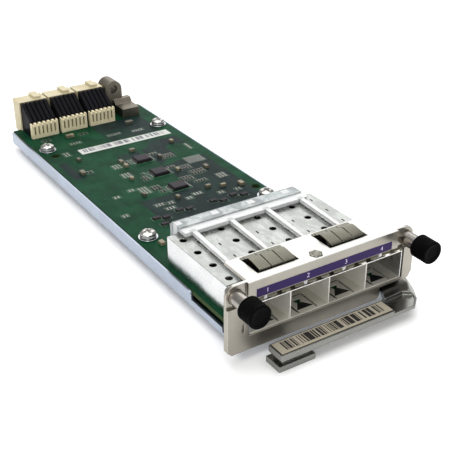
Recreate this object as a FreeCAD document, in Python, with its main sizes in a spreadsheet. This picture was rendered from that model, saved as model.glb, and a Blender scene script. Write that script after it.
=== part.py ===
"""Four-port plug-in line card: panel, port cage, board, tray, rear connectors and ejector.

X runs along the front panel, Y from the panel's front face into the chassis, Z up.
X = 0 is the middle of the four ports and Z = 0 is the top of the circuit board.
"""
import FreeCAD, Part
import os
import re
import Sketcher
from FreeCAD import Rotation, Vector

SIZES = {
    # ports and their cage
    "port_width": 14.25,
    "divider_thick": 0.4,
    "cage_sheet": 0.35,
    "cage_height": 9.8,
    "cage_front": 0.3,
    "cage_length": 47.2,
    "vent_radius": 1.2,
    "vent_offset": 4.2,
    "vent_first": 15.7,
    "vent_rear": 4.95,
    "latch_width": 6.4,
    "finger_gap": 1.75,
    "finger_sheet": 0.2,
    "finger_lift": 1.45,
    # sockets at the back of each port
    "socket_width": 11.2,
    "socket_depth": 9.2,
    "socket_height": 5.6,
    # front panel
    "panel_overhang": 4.9,
    "panel_margin": 1.7,
    "panel_height": 22.6,
    "panel_thick": 2.0,
    "panel_corner": 3.3,
    "aperture_gap": 0.45,
    "aperture_head": 1.8,
    "notch_left": 20.2,
    "notch_height": 4.1,
    "pocket_side": 6.9,
    "pocket_depth": 0.9,
    "label_left_inset": 2.15,
    "label_right_inset": 4.95,
    "label_height": 2.8,
    "label_gap": 0.25,
    "label_sheet": 0.15,
    # grounding flange and its two clips
    "flange_left": 28.8,
    "flange_right": 20.6,
    "flange_depth": 13.4,
    "flange_thick": 1.0,
    "clip_width": 12.6,
    "clip_sheet": 0.3,
    "clip_lift": 0.7,
    "clip_gap": 1.1,
    "clip_depth": 8.4,
    "clip_spacing": 25.9,
    "clip_middle": 3.9,
    "clip_window": 14.4,
    # captive thumbscrews
    "screw_inset": 3.3,
    "screw_drop": 3.7,
    "sleeve_radius": 2.4,
    "sleeve_reach": 5.7,
    "sleeve_fit": 0.05,
    "thread_radius": 1.5,
    "collar_radius": 1.75,
    "neck_radius": 1.05,
    "running_gap": 0.08,
    "knob_radius": 3.7,
    "knob_bore": 2.85,
    "knob_start": 5.2,
    "knob_length": 6.1,
    "knob_face": 1.0,
    "seat_thick": 0.5,
    "thread_reach": 3.0,
    "lip_length": 1.0,
    # circuit board on its tray
    "board_margin": 1.75,
    "board_clearance": 0.1,
    "board_thick": 1.6,
    "board_gap": 0.2,
    "board_rear": 181.0,
    "tray_inset": 0.4,
    "tray_sheet": 0.8,
    "standoff_height": 2.6,
    "standoff_radius": 2.9,
    "rail_drop": 0.3,
    "rail_start": 28.5,
    "rail_corner": 2.0,
    "strip_start": 10.5,
    "strip_height": 2.2,
    # board screws
    "hole_inset": 4.4,
    "screw_front": 66.0,
    "screw_stagger": 4.0,
    "screw_back_inset": 27.5,
    "shank_radius": 1.2,
    "board_hole": 1.6,
    "head_radius": 2.75,
    "head_height": 1.7,
    "lock_radius": 2.9,
    "lock_thick": 0.6,
    "washer_radius": 3.5,
    "washer_thick": 0.5,
    # clear light guide
    "guide_gap": 0.35,
    "guide_thick": 1.3,
    "guide_rise": 0.55,
    "arm_width": 1.7,
    "arm_tip": 1.1,
    "arm_root": 0.6,
    "arm_end": 1.6,
    "bar_overlap": 4.1,
    "bar_reach": 2.9,
    "riser_gap": 1.0,
    "riser_depth": 4.8,
    "led_side": 2.0,
    "led_height": 0.6,
    # backplane connectors
    "module_gap": 0.85,
    "module_inset": 0.35,
    "module_width": 12.6,
    "housing_overlap": 1.4,
    "housing_depth": 7.3,
    "housing_height": 12.7,
    "housing_skirt": 1.4,
    "slot_width": 0.9,
    "slot_depth": 2.0,
    "slot_margin": 1.5,
    "key_width": 3.0,
    "key_height": 1.2,
    "wafer_thick": 1.5,
    "wafer_step": 2.0,
    "wafer_depth": 9.8,
    "wafer_nose_height": 7.0,
    "comb_gap": 0.2,
    "comb_thick": 1.9,
    "comb_width": 12.0,
    "comb_height": 6.6,
    # alignment socket for the chassis guide pin
    "pin_inset": 13.6,
    "pin_rise": 10.8,
    "pin_bore": 1.9,
    "socket_radius": 4.0,
    "socket_overlap": 3.6,
    "socket_length": 8.0,
    "foot_width": 8.2,
    "foot_depth": 9.0,
    "foot_height": 4.2,
    # parts on the board
    "chip_width": 6.2,
    "chip_depth": 5.2,
    "chip_height": 1.3,
    "chip_column": 2.3,
    "chip_first": 0.5227,
    "chip_step": 0.0812,
    "array_width": 2.8,
    "array_depth": 1.5,
    "array_height": 0.7,
    "array_row": 0.4221,
    "capacitor_height": 1.1,
    "sticker_left": 15.7,
    "sticker_width": 41.7,
    "sticker_inset": 39.4,
    "sticker_depth": 5.2,
    "sticker_sheet": 0.12,
    # ejector lever
    "pivot_inset": 4.3,
    "pivot_back": 6.0,
    "pivot_radius": 1.6,
    "hub_radius": 4.4,
    "hub_room": 1.0,
    "lever_gap": 0.2,
    "lever_top": 1.8,
    "lever_thick": 2.6,
    "bar_top": 2.35,
    "bar_left": 25.0,
    "bar_back": 4.2,
    "lever_front": 10.8,
    "arm_left": 18.6,
    "tab_width": 12.4,
    "tab_drop": 3.9,
    "tab_thick": 1.9,
    "web_inset": 1.6,
    "platform_drop": 1.4,
    "platform_left": 16.9,
    "lever_label_width": 41.2,
    "lever_label_depth": 5.5,
}
PORTS = 4
WAFERS = 6
MODULES = 3
CHIPS = 3
FINGERS_EACH = 3

document = FreeCAD.newDocument("line_card")
sheet = document.addObject("Spreadsheet::Sheet", "sizes")
for row, (size_name, size_value) in enumerate(SIZES.items(), start=1):
    sheet.set(f"A{row}", size_name)
    sheet.set(f"B{row}", str(size_value))
    sheet.setAlias(f"B{row}", size_name)
document.recompute()

WORD = re.compile(r"[a-z][a-z_]*")
nodes = []

# Levels and lines that several pieces share, written from the driving sizes.
TRAY_TOP = "(-board_thick - standoff_height)"
TRAY_LOW = "(-board_thick - standoff_height - tray_sheet)"
PANEL_TOP = f"({TRAY_LOW} + panel_height)"
CAGE_HALF = "(2 * port_width - divider_thick / 2 + cage_sheet)"
CAGE_REAR = "(cage_front + cage_length)"
VENT_STEP = f"(({CAGE_REAR} - vent_rear - vent_first) / 3)"
GUIDE_LOW = "(cage_height + guide_gap)"
GUIDE_TOP = "(cage_height + guide_gap + guide_thick + guide_rise)"
TRAY_REAR = "(board_rear - tray_inset)"
SCREW_BACK = "(board_rear - screw_back_inset)"
HOUSING_FRONT = "(board_rear - housing_overlap)"
WAFER_NOSE = f"({HOUSING_FRONT} - wafer_depth)"
COMB_FRONT = f"({WAFER_NOSE} - comb_gap - comb_thick)"
SOCKET_FRONT = "(board_rear - socket_overlap)"
BAR_FRONT = f"({CAGE_REAR} - bar_overlap)"
RISER_FRONT = f"({CAGE_REAR} + riser_gap)"
RISER_REAR = f"({CAGE_REAR} + riser_gap + riser_depth)"
BOARD_HALF = f"({CAGE_HALF} + board_margin)"
PIN_AXIS = f"({BOARD_HALF} - pin_inset)"
TRAY_HALF = f"({BOARD_HALF} + board_clearance + tray_sheet)"
PANEL_LEFT = f"({TRAY_HALF} + panel_overhang)"
PANEL_RIGHT = f"({TRAY_HALF} + panel_margin)"
SCREW_ROW = f"({BOARD_HALF} - hole_inset)"
CLIP_FRONT = "(panel_thick + clip_gap)"
PIVOT = f"({TRAY_HALF} - pivot_inset)"
SCREW_RISE = f"({PANEL_TOP} - screw_drop)"
LABEL_LEFT = f"(label_left_inset - {CAGE_HALF})"
LABEL_WIDTH = f"(2 * {CAGE_HALF} - label_left_inset - label_right_inset)"
SCREW_LEFT = f"(screw_inset - {PANEL_LEFT})"
SCREW_RIGHT = f"({PANEL_RIGHT} - screw_inset)"
APERTURE_TOP = "(cage_height + aperture_head)"
LABEL_LOW = "(cage_height + aperture_head + label_gap)"
BOARD_FRONT = "(panel_thick + board_gap)"
LEVER_LOW = "(-lever_top - lever_thick)"
HUB_LOW = f"({TRAY_TOP} + lever_gap)"
HUB_THICK = "(standoff_height - hub_room)"
KNOB_END = "(knob_start + knob_length)"
NECK_END = f"({KNOB_END} - knob_face)"
THREAD_FRONT = "(sleeve_reach - lip_length - running_gap)"


def formula(text):
    """Point every size's name in a formula at its cell."""
    return WORD.sub(lambda word: "sizes." + word.group() if word.group() in SIZES else word.group(), str(text))


def value(text):
    """What a formula comes to, in millimetres."""
    return float(sheet.evalExpression(formula(text)))


def bind(made, **formulas):
    """Tie an object's properties to formulas; a double underscore stands for a dot."""
    for name, text in formulas.items():
        made.setExpression(name.replace("__", "."), formula(text))
    return made


def place(made, across, deep, up):
    """Tie an object's position to three formulas."""
    return bind(made, Placement__Base__x=across, Placement__Base__y=deep, Placement__Base__z=up)


def block(name, low, size):
    """A box from its lowest corner and its three sides."""
    made = document.addObject("Part::Box", name)
    bind(made, Length=size[0], Width=size[1], Height=size[2])
    return place(made, *low)


def rod(name, centre, radius, length, along="Z"):
    """A cylinder that starts at centre and runs along +Z or +Y."""
    made = document.addObject("Part::Cylinder", name)
    if along == "Y":
        made.Placement.Rotation = Rotation(Vector(1, 0, 0), -90)
    bind(made, Radius=radius, Height=length)
    return place(made, *centre)


def stamping(name, centre, radius, length, sides=24):
    """A stamped disc drawn with flats, which starts at centre and runs along +Z."""
    made = document.addObject("Part::Prism", name)
    made.Polygon = sides
    bind(made, Circumradius=radius, Height=length)
    return place(made, *centre)


def cut(name, base, tool):
    """What is left of base once tool is taken out of it."""
    made = document.addObject("Part::Cut", name)
    made.Base = base
    made.Tool = tool
    return made


def join(name, shapes):
    """One solid from several that touch."""
    made = document.addObject("Part::MultiFuse", name)
    made.Shapes = shapes
    made.Refine = True
    return made


def group(name, shapes):
    """Separate solids that share one node."""
    made = document.addObject("Part::Compound", name)
    made.Links = shapes
    return made


def keep(made, name=None):
    """List an object as a finished sub-part."""
    made.Label = name or made.Label
    nodes.append(made)
    return made


def new_body(name):
    """An empty body whose label is the sub-part's name."""
    made = document.addObject("PartDesign::Body", name)
    made.Label = name
    return made


def plane(body, role):
    """One of the body's own origin planes or axes."""
    for feature in body.Origin.OriginFeatures:
        if feature.Role == role:
            return feature
    raise ValueError(role)


def new_sketch(body, name, role="XY_Plane", level="0", across="0"):
    """A sketch on an origin plane: level moves it along X, Y or Z, across along its own X."""
    made = body.newObject("Sketcher::SketchObject", name)
    made.AttachmentSupport = (plane(body, role), [""])
    made.MapMode = "FlatFace"
    depth = f"-({level})" if role == "XZ_Plane" else level
    return bind(made, AttachmentOffset__Base__z=depth, AttachmentOffset__Base__x=across)


def outline(sketch, corners):
    """A closed run of straight edges, with each corner held by two formulas."""
    spots = [Vector(value(across), value(up), 0) for across, up in corners]
    first = sketch.GeometryCount
    count = len(spots)
    for index, spot in enumerate(spots):
        sketch.addGeometry(Part.LineSegment(spot, spots[(index + 1) % count]), False)
    for index, (across, up) in enumerate(corners):
        follower = first + (index + 1) % count
        sketch.addConstraint(Sketcher.Constraint("Coincident", first + index, 2, follower, 1))
        for kind, text in (("DistanceX", across), ("DistanceY", up)):
            rule = sketch.addConstraint(Sketcher.Constraint(kind, -1, 1, first + index, 1, value(text)))
            sketch.setExpression(f"Constraints[{rule}]", formula(text))


def oblong(sketch, low, high):
    """A rectangle between two opposite corners."""
    (left, bottom), (right, top) = low, high
    outline(sketch, [(left, bottom), (right, bottom), (right, top), (left, top)])


def circle(sketch, across, up, radius):
    """A circle held by its centre and radius."""
    centre = Vector(value(across), value(up), 0)
    edge = sketch.addGeometry(Part.Circle(centre, Vector(0, 0, 1), value(radius)), False)
    for kind, text in (("DistanceX", across), ("DistanceY", up)):
        rule = sketch.addConstraint(Sketcher.Constraint(kind, -1, 1, edge, 3, value(text)))
        sketch.setExpression(f"Constraints[{rule}]", formula(text))
    rule = sketch.addConstraint(Sketcher.Constraint("Radius", edge, value(radius)))
    sketch.setExpression(f"Constraints[{rule}]", formula(radius))


def punched(sketch, across, up, radius, sides=12):
    """A small round punching drawn with flats."""
    turns = [360 * (index + 0.5) / sides for index in range(sides)]
    outline(sketch, [(f"{across} + {radius} * cos({turn})", f"{up} + {radius} * sin({turn})") for turn in turns])


def pad(body, sketch, length, back=False, middle=False):
    """Thicken a sketch; on the XZ plane back=True runs towards +Y."""
    made = body.newObject("PartDesign::Pad", sketch.Name + "_pad")
    made.Profile = sketch
    made.Reversed = back
    if middle:
        made.SideType = "Symmetric"
    return bind(made, Length=length)


def pocket(body, sketch, length):
    """Cut a sketch into the body, away from the sketch's face, and make sure that it did cut."""
    document.recompute()
    before = body.Shape.Volume
    made = body.newObject("PartDesign::Pocket", sketch.Name + "_pocket")
    made.Profile = sketch
    bind(made, Length=length)
    document.recompute()
    if not body.Shape.Volume < before:
        raise ValueError(sketch.Name + " cuts nothing")
    return made


def repeat(body, feature, axis, step, count):
    """Copies of a feature along an origin axis, a step apart."""
    made = body.newObject("PartDesign::LinearPattern", feature.Name + "_row")
    made.Originals = [feature]
    made.Direction = (plane(body, axis), [""])
    made.Occurrences = count
    bind(made, Length=f"{count - 1} * ({step})")
    body.Tip = made
    return made


def soften(body, radius, test, kind="Fillet"):
    """Round or bevel the edges whose middle point passes a test."""
    document.recompute()
    base = body.Tip
    names = []
    for index, edge in enumerate(base.Shape.Edges, start=1):
        if len(edge.Vertexes) == 2 and test(edge, edge.CenterOfMass):
            names.append(f"Edge{index}")
    made = body.newObject("PartDesign::" + kind, f"{base.Name}_{kind.lower()}")
    made.Base = (base, names)
    bind(made, **{"Radius" if kind == "Fillet" else "Size": radius})
    document.recompute()
    if not names or made.Shape.isNull():
        raise ValueError(made.Name + " has nothing to soften")
    return made


def near(one, text):
    """Whether a measured place is where a formula says."""
    return abs(one - value(text)) < 0.02


def runs(edge, axis):
    """Whether an edge is straight along one axis."""
    span = edge.Vertexes[0].Point - edge.Vertexes[1].Point
    sides = [abs(span.x), abs(span.y), abs(span.z)]
    return sides[axis] > 0.01 and sum(sides) - sides[axis] < 0.001


# Circuit board: one flat sheet with four screw holes and two tooling holes; where its parts stand.
ARRAY_SPOTS = [
    (-17.0, "board_rear * array_row"),
    (-13.6, "board_rear * array_row - 1.2"),
    (-7.0, "board_rear * array_row + 1"),
    (-3.3, "board_rear * array_row"),
    (7.1, "board_rear * array_row + 0.6"),
    (10.6, "board_rear * array_row - 1"),
    (16.0, "board_rear * array_row + 0.9"),
    (19.6, "board_rear * array_row - 1"),
    (-16.5, "board_rear * array_row - 5.4"),
]
CAPACITOR_SPOTS = [
    (-23.3, 0.690, 1.8, 3.2),
    (-12.4, 0.894, 3.4, 2.0),
    (-6.0, 0.672, 1.4, 2.2),
    (-6.0, 0.697, 1.4, 2.2),
    (-9.5, 0.608, 1.3, 2.0),
    (9.8, 0.677, 1.3, 2.2),
    (9.6, 0.594, 1.3, 2.2),
    (23.7, 0.462, 1.8, 2.6),
    (11.7, 0.487, 2.0, 1.3),
    (17.0, 0.474, 2.0, 1.3),
    (-24.2, 0.329, 1.6, 2.4),
    (-2.4, 0.478, 1.3, 2.0),
    (-12.0, 0.525, 1.3, 2.0),
    (20.5, 0.575, 1.5, 2.4),
    (3.0, 0.740, 2.2, 1.3),
    (16.0, 0.895, 3.4, 2.0),
    (21.5, 0.738, 1.4, 2.0),
    (-19.5, 0.757, 1.4, 2.0),
]
SCREW_SPOTS = [
    (f"-{SCREW_ROW}", "screw_front"),
    (SCREW_ROW, "screw_front + screw_stagger"),
    (f"-{SCREW_ROW}", SCREW_BACK),
    (SCREW_ROW, SCREW_BACK),
]


def circuit_board():
    body = new_body("circuit_board")
    flat = new_sketch(body, "board_outline", level="-board_thick")
    oblong(flat, (f"-{BOARD_HALF}", BOARD_FRONT), (BOARD_HALF, "board_rear"))
    for across, deep in SCREW_SPOTS:
        punched(flat, across, deep, "board_hole", sides=16)
    punched(flat, f"-{SCREW_ROW} + 0.6", f"{SCREW_BACK} - 7", "board_hole", sides=24)
    punched(flat, f"{SCREW_ROW} + 1.4", "screw_front + 13", "board_hole", sides=24)
    pad(body, flat, "board_thick")
    return keep(body)


# Tray: a folded sheet with a rail up each side; each rail drops to a low strip near the panel.
def base_tray():
    body = new_body("base_tray")
    floor = new_sketch(body, "tray_floor", level=TRAY_LOW)
    oblong(floor, (f"-{TRAY_HALF}", "panel_thick"), (TRAY_HALF, TRAY_REAR))
    pad(body, floor, "tray_sheet")
    rail = new_sketch(body, "tray_rail", "YZ_Plane", f"{TRAY_HALF} - tray_sheet")
    outline(rail, [
        ("strip_start", TRAY_LOW),
        (TRAY_REAR, TRAY_LOW),
        (TRAY_REAR, "-rail_drop"),
        ("rail_start", "-rail_drop"),
        ("rail_start", f"{TRAY_LOW} + strip_height"),
        ("strip_start", f"{TRAY_LOW} + strip_height"),
    ])
    side = pad(body, rail, "tray_sheet")
    mirrored = body.newObject("PartDesign::Mirrored", "tray_other_rail")
    mirrored.Originals = [side]
    mirrored.MirrorPlane = (plane(body, "YZ_Plane"), [""])
    body.Tip = mirrored
    lip = new_sketch(body, "tray_lip", "XZ_Plane", "panel_thick")
    oblong(lip, (f"-{TRAY_HALF} + 4", TRAY_LOW), ("notch_left - 6", "-board_thick - lever_gap"))
    pad(body, lip, "tray_sheet", back=True)
    soften(body, "rail_corner", lambda edge, spot: runs(edge, 0) and near(spot.y, "rail_start")
           and near(spot.z, "-rail_drop"))
    soften(body, "strip_height / 2.5", lambda edge, spot: runs(edge, 0) and near(spot.y, "strip_start")
           and near(spot.z, f"{TRAY_LOW} + strip_height"))
    soften(body, "pivot_inset", lambda edge, spot: runs(edge, 2)
           and near(spot.x, TRAY_HALF) and near(spot.y, "panel_thick"))
    return keep(body)


def board_fixings():
    """Hexagonal standoffs, washers, split lock washers and pan-head screws at the four corners."""
    standoffs, washers, locks, screws = [], [], [], []
    for number, (across, deep) in enumerate(SCREW_SPOTS, start=1):
        tube = document.addObject("Part::Prism", f"standoff_hexagon_{number}")
        bind(tube, Circumradius="standoff_radius", Height="standoff_height")
        place(tube, across, deep, TRAY_TOP)
        core = rod(f"standoff_core_{number}", (across, deep, TRAY_TOP), "shank_radius + 0.05", "standoff_height")
        standoffs.append(cut(f"standoff_{number}", tube, core))
        disc = stamping(f"washer_disc_{number}", (across, deep, "0"), "washer_radius", "washer_thick")
        hole = stamping(f"washer_hole_{number}", (across, deep, "0"), "shank_radius + 0.2", "washer_thick", 16)
        washers.append(cut(f"flat_washer_{number}", disc, hole))
        ring = stamping(f"lock_disc_{number}", (across, deep, "washer_thick"), "lock_radius", "lock_thick")
        bore = stamping(f"lock_hole_{number}", (across, deep, "washer_thick"), "shank_radius + 0.2", "lock_thick", 16)
        split = block(f"lock_split_{number}", (across, f"{deep} - 0.2", "washer_thick"),
                      ("lock_radius", "0.4", "lock_thick"))
        locks.append(cut(f"lock_washer_{number}", cut(f"lock_ring_{number}", ring, bore), split))
        seat = "washer_thick + lock_thick"
        shank = rod(f"shank_{number}", (across, deep, TRAY_TOP), "shank_radius", f"{seat} - {TRAY_TOP}")
        head = rod(f"head_{number}", (across, deep, seat), "head_radius", "head_height")
        screws.append(join(f"board_screw_{number}", [shank, head]))
    keep(group("board_standoffs", standoffs))
    keep(group("flat_washers", washers))
    keep(group("lock_washers", locks))
    keep(group("board_screws", screws))


# Front panel: a thick plate with the port aperture, the lever notch and a flange folded back from its top.
def front_panel():
    body = new_body("front_panel")
    face = new_sketch(body, "panel_face", "XZ_Plane")
    chamfer = 1.3
    outline(face, [
        (f"-{PANEL_LEFT} + {chamfer}", TRAY_LOW),
        ("notch_left", TRAY_LOW),
        ("notch_left", f"{TRAY_LOW} + notch_height"),
        (f"{PANEL_RIGHT} - {chamfer}", f"{TRAY_LOW} + notch_height"),
        (PANEL_RIGHT, f"{TRAY_LOW} + notch_height + 2.2"),
        (PANEL_RIGHT, PANEL_TOP),
        (f"-{PANEL_LEFT}", PANEL_TOP),
        (f"-{PANEL_LEFT}", f"{TRAY_LOW} + {chamfer}"),
    ])
    oblong(face, (f"-{CAGE_HALF} - aperture_gap", "-0.1"), (f"{CAGE_HALF} + aperture_gap", APERTURE_TOP))
    pad(body, face, "panel_thick", back=True)
    soften(body, "panel_corner", lambda edge, spot: runs(edge, 1) and near(spot.z, PANEL_TOP))
    soften(body, "notch_height * 0.45", lambda edge, spot: runs(edge, 1) and near(spot.x, "notch_left")
           and near(spot.z, TRAY_LOW))
    flange = new_sketch(body, "top_flange", level=f"{PANEL_TOP} - flange_thick")
    oblong(flange, ("-flange_left", "panel_thick / 2"), ("flange_right", "flange_depth"))
    for side in (-1, 1):
        middle = f"-clip_middle + {side} * clip_spacing / 2"
        oblong(flange, (f"{middle} - clip_window / 2", CLIP_FRONT),
               (f"{middle} + clip_window / 2", f"{CLIP_FRONT} + clip_depth"))
    pad(body, flange, "flange_thick")
    pockets = new_sketch(body, "corner_pockets", "XZ_Plane")
    for side, edge in ((-1, PANEL_LEFT), (1, PANEL_RIGHT)):
        corners = [f"{side} * {edge}", f"{side} * ({edge} - pocket_side)"]
        left, right = sorted(corners, key=value)
        oblong(pockets, (f"{left} - {int(side < 0)}", f"{PANEL_TOP} - pocket_side"),
               (f"{right} + {int(side > 0)}", f"{PANEL_TOP} + 1"))
    pocket(body, pockets, "pocket_depth")
    holes = new_sketch(body, "sleeve_holes", "XZ_Plane")
    for across in (SCREW_LEFT, SCREW_RIGHT):
        circle(holes, across, SCREW_RISE, "sleeve_radius + sleeve_fit")
    pocket(body, holes, "panel_thick")
    seat = new_sketch(body, "label_seat", "XZ_Plane")
    oblong(seat, (LABEL_LEFT, LABEL_LOW), (f"{LABEL_LEFT} + {LABEL_WIDTH}", f"{LABEL_LOW} + label_height"))
    pocket(body, seat, "label_sheet")
    slot = new_sketch(body, "side_slot", "XZ_Plane")
    oblong(slot, (f"-{PANEL_LEFT} + 4.8", "1.5"), (f"-{PANEL_LEFT} + 5.6", "4.5"))
    pocket(body, slot, "panel_thick")
    return keep(body)


# Port cage: a folded cover with side walls, a base with latch openings, and three dividers.
def cage_cover():
    body = new_body("cage_cover")
    section = new_sketch(body, "cover_section", "XZ_Plane", "cage_front")
    inner = f"({CAGE_HALF} - cage_sheet)"
    outline(section, [
        (f"-{CAGE_HALF}", "0"),
        (f"-{inner}", "0"),
        (f"-{inner}", "cage_height - cage_sheet"),
        (inner, "cage_height - cage_sheet"),
        (inner, "0"),
        (CAGE_HALF, "0"),
        (CAGE_HALF, "cage_height"),
        (f"-{CAGE_HALF}", "cage_height"),
    ])
    pad(body, section, "cage_length", back=True)
    wall = new_sketch(body, "cover_rear", "XZ_Plane", f"{CAGE_REAR} - cage_sheet")
    oblong(wall, (f"-{CAGE_HALF}", "0"), (CAGE_HALF, "cage_height"))
    pad(body, wall, "cage_sheet", back=True)
    port = "-1.5 * port_width"
    vents = new_sketch(body, "top_vents", level="cage_height")
    for number in range(4):
        punched(vents, f"{port} - vent_offset", f"vent_first + {number} * {VENT_STEP}", "vent_radius")
    for across, deep in (("-0.9", "1.5"), ("-0.9", "2.53"), ("4.2", "1.05"), ("4.2", "2.0"), ("4.2", "2.97")):
        oblong(vents, (f"{port} + {across}", f"vent_first + {deep} * {VENT_STEP}"),
               (f"{port} + {across} + 0.45", f"vent_first + {deep} * {VENT_STEP} + 1.5"))
    repeat(body, pocket(body, vents, "cage_sheet"), "X_Axis", "port_width", PORTS)
    return keep(body)


def cage_base():
    body = new_body("cage_base")
    inner = f"({CAGE_HALF} - cage_sheet)"
    flat = new_sketch(body, "base_outline")
    oblong(flat, (f"-{inner}", "cage_front"), (inner, f"{CAGE_REAR} - cage_sheet"))
    pad(body, flat, "cage_sheet")
    latch = new_sketch(body, "latch_opening", level="cage_sheet")
    port = "-1.5 * port_width"
    outline(latch, [
        (f"{port} - 1.6", "cage_front + 7.0"),
        (f"{port} + 1.6", "cage_front + 7.0"),
        (port, "cage_front + 4.2"),
    ])
    for side in (-1, 1):
        edges = sorted([f"{port} + {side} * latch_width / 2", f"{port} + {side} * (latch_width / 2 + 0.5)"], key=value)
        oblong(latch, (edges[0], "cage_front + 1.2"), (edges[1], "cage_front + 9"))
    repeat(body, pocket(body, latch, "cage_sheet"), "X_Axis", "port_width", PORTS)
    return keep(body)


def cage_divider(number):
    body = new_body(f"cage_divider_{number}")
    line = f"({number} - {PORTS} / 2) * port_width"
    side = new_sketch(body, f"divider_side_{number}", "YZ_Plane", line)
    outline(side, [
        ("cage_front", "cage_sheet"),
        (f"{CAGE_REAR} - cage_sheet", "cage_sheet"),
        (f"{CAGE_REAR} - cage_sheet", "cage_height - cage_sheet"),
        ("cage_front", "cage_height - cage_sheet"),
    ])
    pad(body, side, "divider_thick", middle=True)
    return keep(body)


def port_socket(number):
    """Edge-card socket at the back of one port, with its mouth towards the panel."""
    body = new_body(f"port_socket_{number}")
    line = f"({number} - {(PORTS + 1) / 2}) * port_width"
    rear = f"({CAGE_REAR} - cage_sheet - 4)"
    front = f"({rear} - socket_depth)"
    side = new_sketch(body, f"socket_side_{number}", "YZ_Plane", line)
    outline(side, [
        (front, "cage_sheet"),
        (rear, "cage_sheet"),
        (rear, "socket_height - 1.4"),
        (f"{rear} - 1.6", "socket_height"),
        (front, "socket_height"),
        (front, "3.9"),
        (f"{front} + 5.5", "3.9"),
        (f"{front} + 5.5", "2.6"),
        (front, "2.6"),
    ])
    pad(body, side, "socket_width", middle=True)
    return keep(body)


def emi_fingers():
    """Spring collar across the cage top: a thin strip with a row of bowed leaves."""
    body = new_body("emi_fingers")
    strip = new_sketch(body, "finger_strip", level="cage_height")
    oblong(strip, (f"-{CAGE_HALF}", "4.2"), (CAGE_HALF, "6.4"))
    pad(body, strip, "finger_sheet")
    step = f"(port_width / {FINGERS_EACH})"
    wide = f"({step} - finger_gap)"
    first = f"(0.8 - 2 * port_width + {step} / 2)"
    leaf = new_sketch(body, "finger_leaf", "YZ_Plane", f"{first} - {wide} / 2")
    arch = [("4.3", "0"), ("3.2", "finger_lift * 0.62"), ("2.2", "finger_lift"),
            ("1.2", "finger_lift * 0.86"), ("0.4", "finger_lift * 0.3")]
    upper = [(deep, f"cage_height + finger_sheet + {lift}") for deep, lift in arch]
    lower = [(deep, f"cage_height + {lift}") for deep, lift in reversed(arch)]
    outline(leaf, upper + lower)
    repeat(body, pad(body, leaf, wide), "X_Axis", step, PORTS * FINGERS_EACH)
    return keep(body)


# Clear light guide: one arm to the panel for each port, a cross bar and four feet on the board.
def light_guide():
    body = new_body("light_guide")
    port = "-1.5 * port_width"
    arm = new_sketch(body, "guide_arm", level=GUIDE_LOW)
    outline(arm, [
        (f"{port} - arm_end - arm_tip / 2", "cage_front + 0.2"),
        (f"{port} - arm_end + arm_tip / 2", "cage_front + 0.2"),
        (f"{port} + arm_root + arm_width / 2", f"{BAR_FRONT} + 1"),
        (f"{port} + arm_root - arm_width / 2", f"{BAR_FRONT} + 1"),
    ])
    side = new_sketch(body, "guide_bar", "YZ_Plane")
    outline(side, [
        (BAR_FRONT, GUIDE_LOW),
        (RISER_FRONT, GUIDE_LOW),
        (RISER_FRONT, "led_height + 0.3"),
        (RISER_REAR, "led_height + 0.3"),
        (RISER_REAR, f"{GUIDE_TOP} - 1.5"),
        (f"{RISER_REAR} - 1.5", GUIDE_TOP),
        (f"{BAR_FRONT} + 3.5", GUIDE_TOP),
        (f"{BAR_FRONT} + 3.5", f"{GUIDE_LOW} + guide_thick"),
        (BAR_FRONT, f"{GUIDE_LOW} + guide_thick"),
    ])
    pad(body, side, "2 * (1.5 * port_width + bar_reach)", middle=True)
    gaps = new_sketch(body, "guide_gaps", "XZ_Plane", RISER_FRONT)
    for number in range(1, PORTS):
        line = f"({number} - {PORTS} / 2) * port_width"
        oblong(gaps, (f"{line} - 3.6", "led_height"), (f"{line} + 3.6", f"{GUIDE_LOW} - 1.4"))
    pocket(body, gaps, "riser_depth")
    repeat(body, pad(body, arm, "guide_thick"), "X_Axis", "port_width", PORTS)
    return keep(body)


def port_leds():
    """Indicator chips on the board, under the light guide's four feet."""
    chips = []
    for number in range(PORTS):
        line = f"({number} - {(PORTS - 1) / 2}) * port_width"
        chips.append(block(f"led_{number + 1}", (f"{line} - led_side / 2", f"{RISER_FRONT} + 1.2", "0"),
                           ("led_side", "led_side", "led_height")))
    keep(group("port_leds", chips))


def ground_clip(name, side):
    """Three bowed spring fingers that fill a window of the flange."""
    body = new_body(name)
    low = f"({PANEL_TOP} - flange_thick)"
    rear = f"({CLIP_FRONT} + clip_depth)"
    bow = new_sketch(body, name + "_bow", "YZ_Plane", f"-clip_middle + {side} * clip_spacing / 2")
    path = [(f"{CLIP_FRONT} - 1.0", f"{low} - clip_sheet"), (f"{CLIP_FRONT} + 0.3", f"{low} - clip_sheet"),
            (f"{CLIP_FRONT} + 0.9", f"{PANEL_TOP} + clip_lift - clip_sheet - 0.2"),
            (f"{CLIP_FRONT} + 1.6", f"{PANEL_TOP} + clip_lift - clip_sheet"),
            (f"{CLIP_FRONT} + 5.2", f"{PANEL_TOP} + clip_lift - clip_sheet"),
            (f"{rear} - 1.2", f"{PANEL_TOP} - 0.35"),
            (f"{rear} - 0.35", f"{low} - clip_sheet"), (f"{rear} + 1.1", f"{low} - clip_sheet")]
    upper = [(deep, f"{up} + clip_sheet") for deep, up in reversed(path)]
    outline(bow, path + upper)
    pad(body, bow, "clip_width", middle=True)
    slits = new_sketch(body, name + "_slits", level=f"{PANEL_TOP} + clip_lift")
    for share in (-1, 1):
        middle = f"-clip_middle + {side} * clip_spacing / 2 + {share} * clip_width / 6"
        oblong(slits, (f"{middle} - 0.14", f"{CLIP_FRONT} + 0.6"), (f"{middle} + 0.14", f"{rear} - 0.6"))
    pocket(body, slits, "clip_lift + flange_thick")
    return keep(body)


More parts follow.
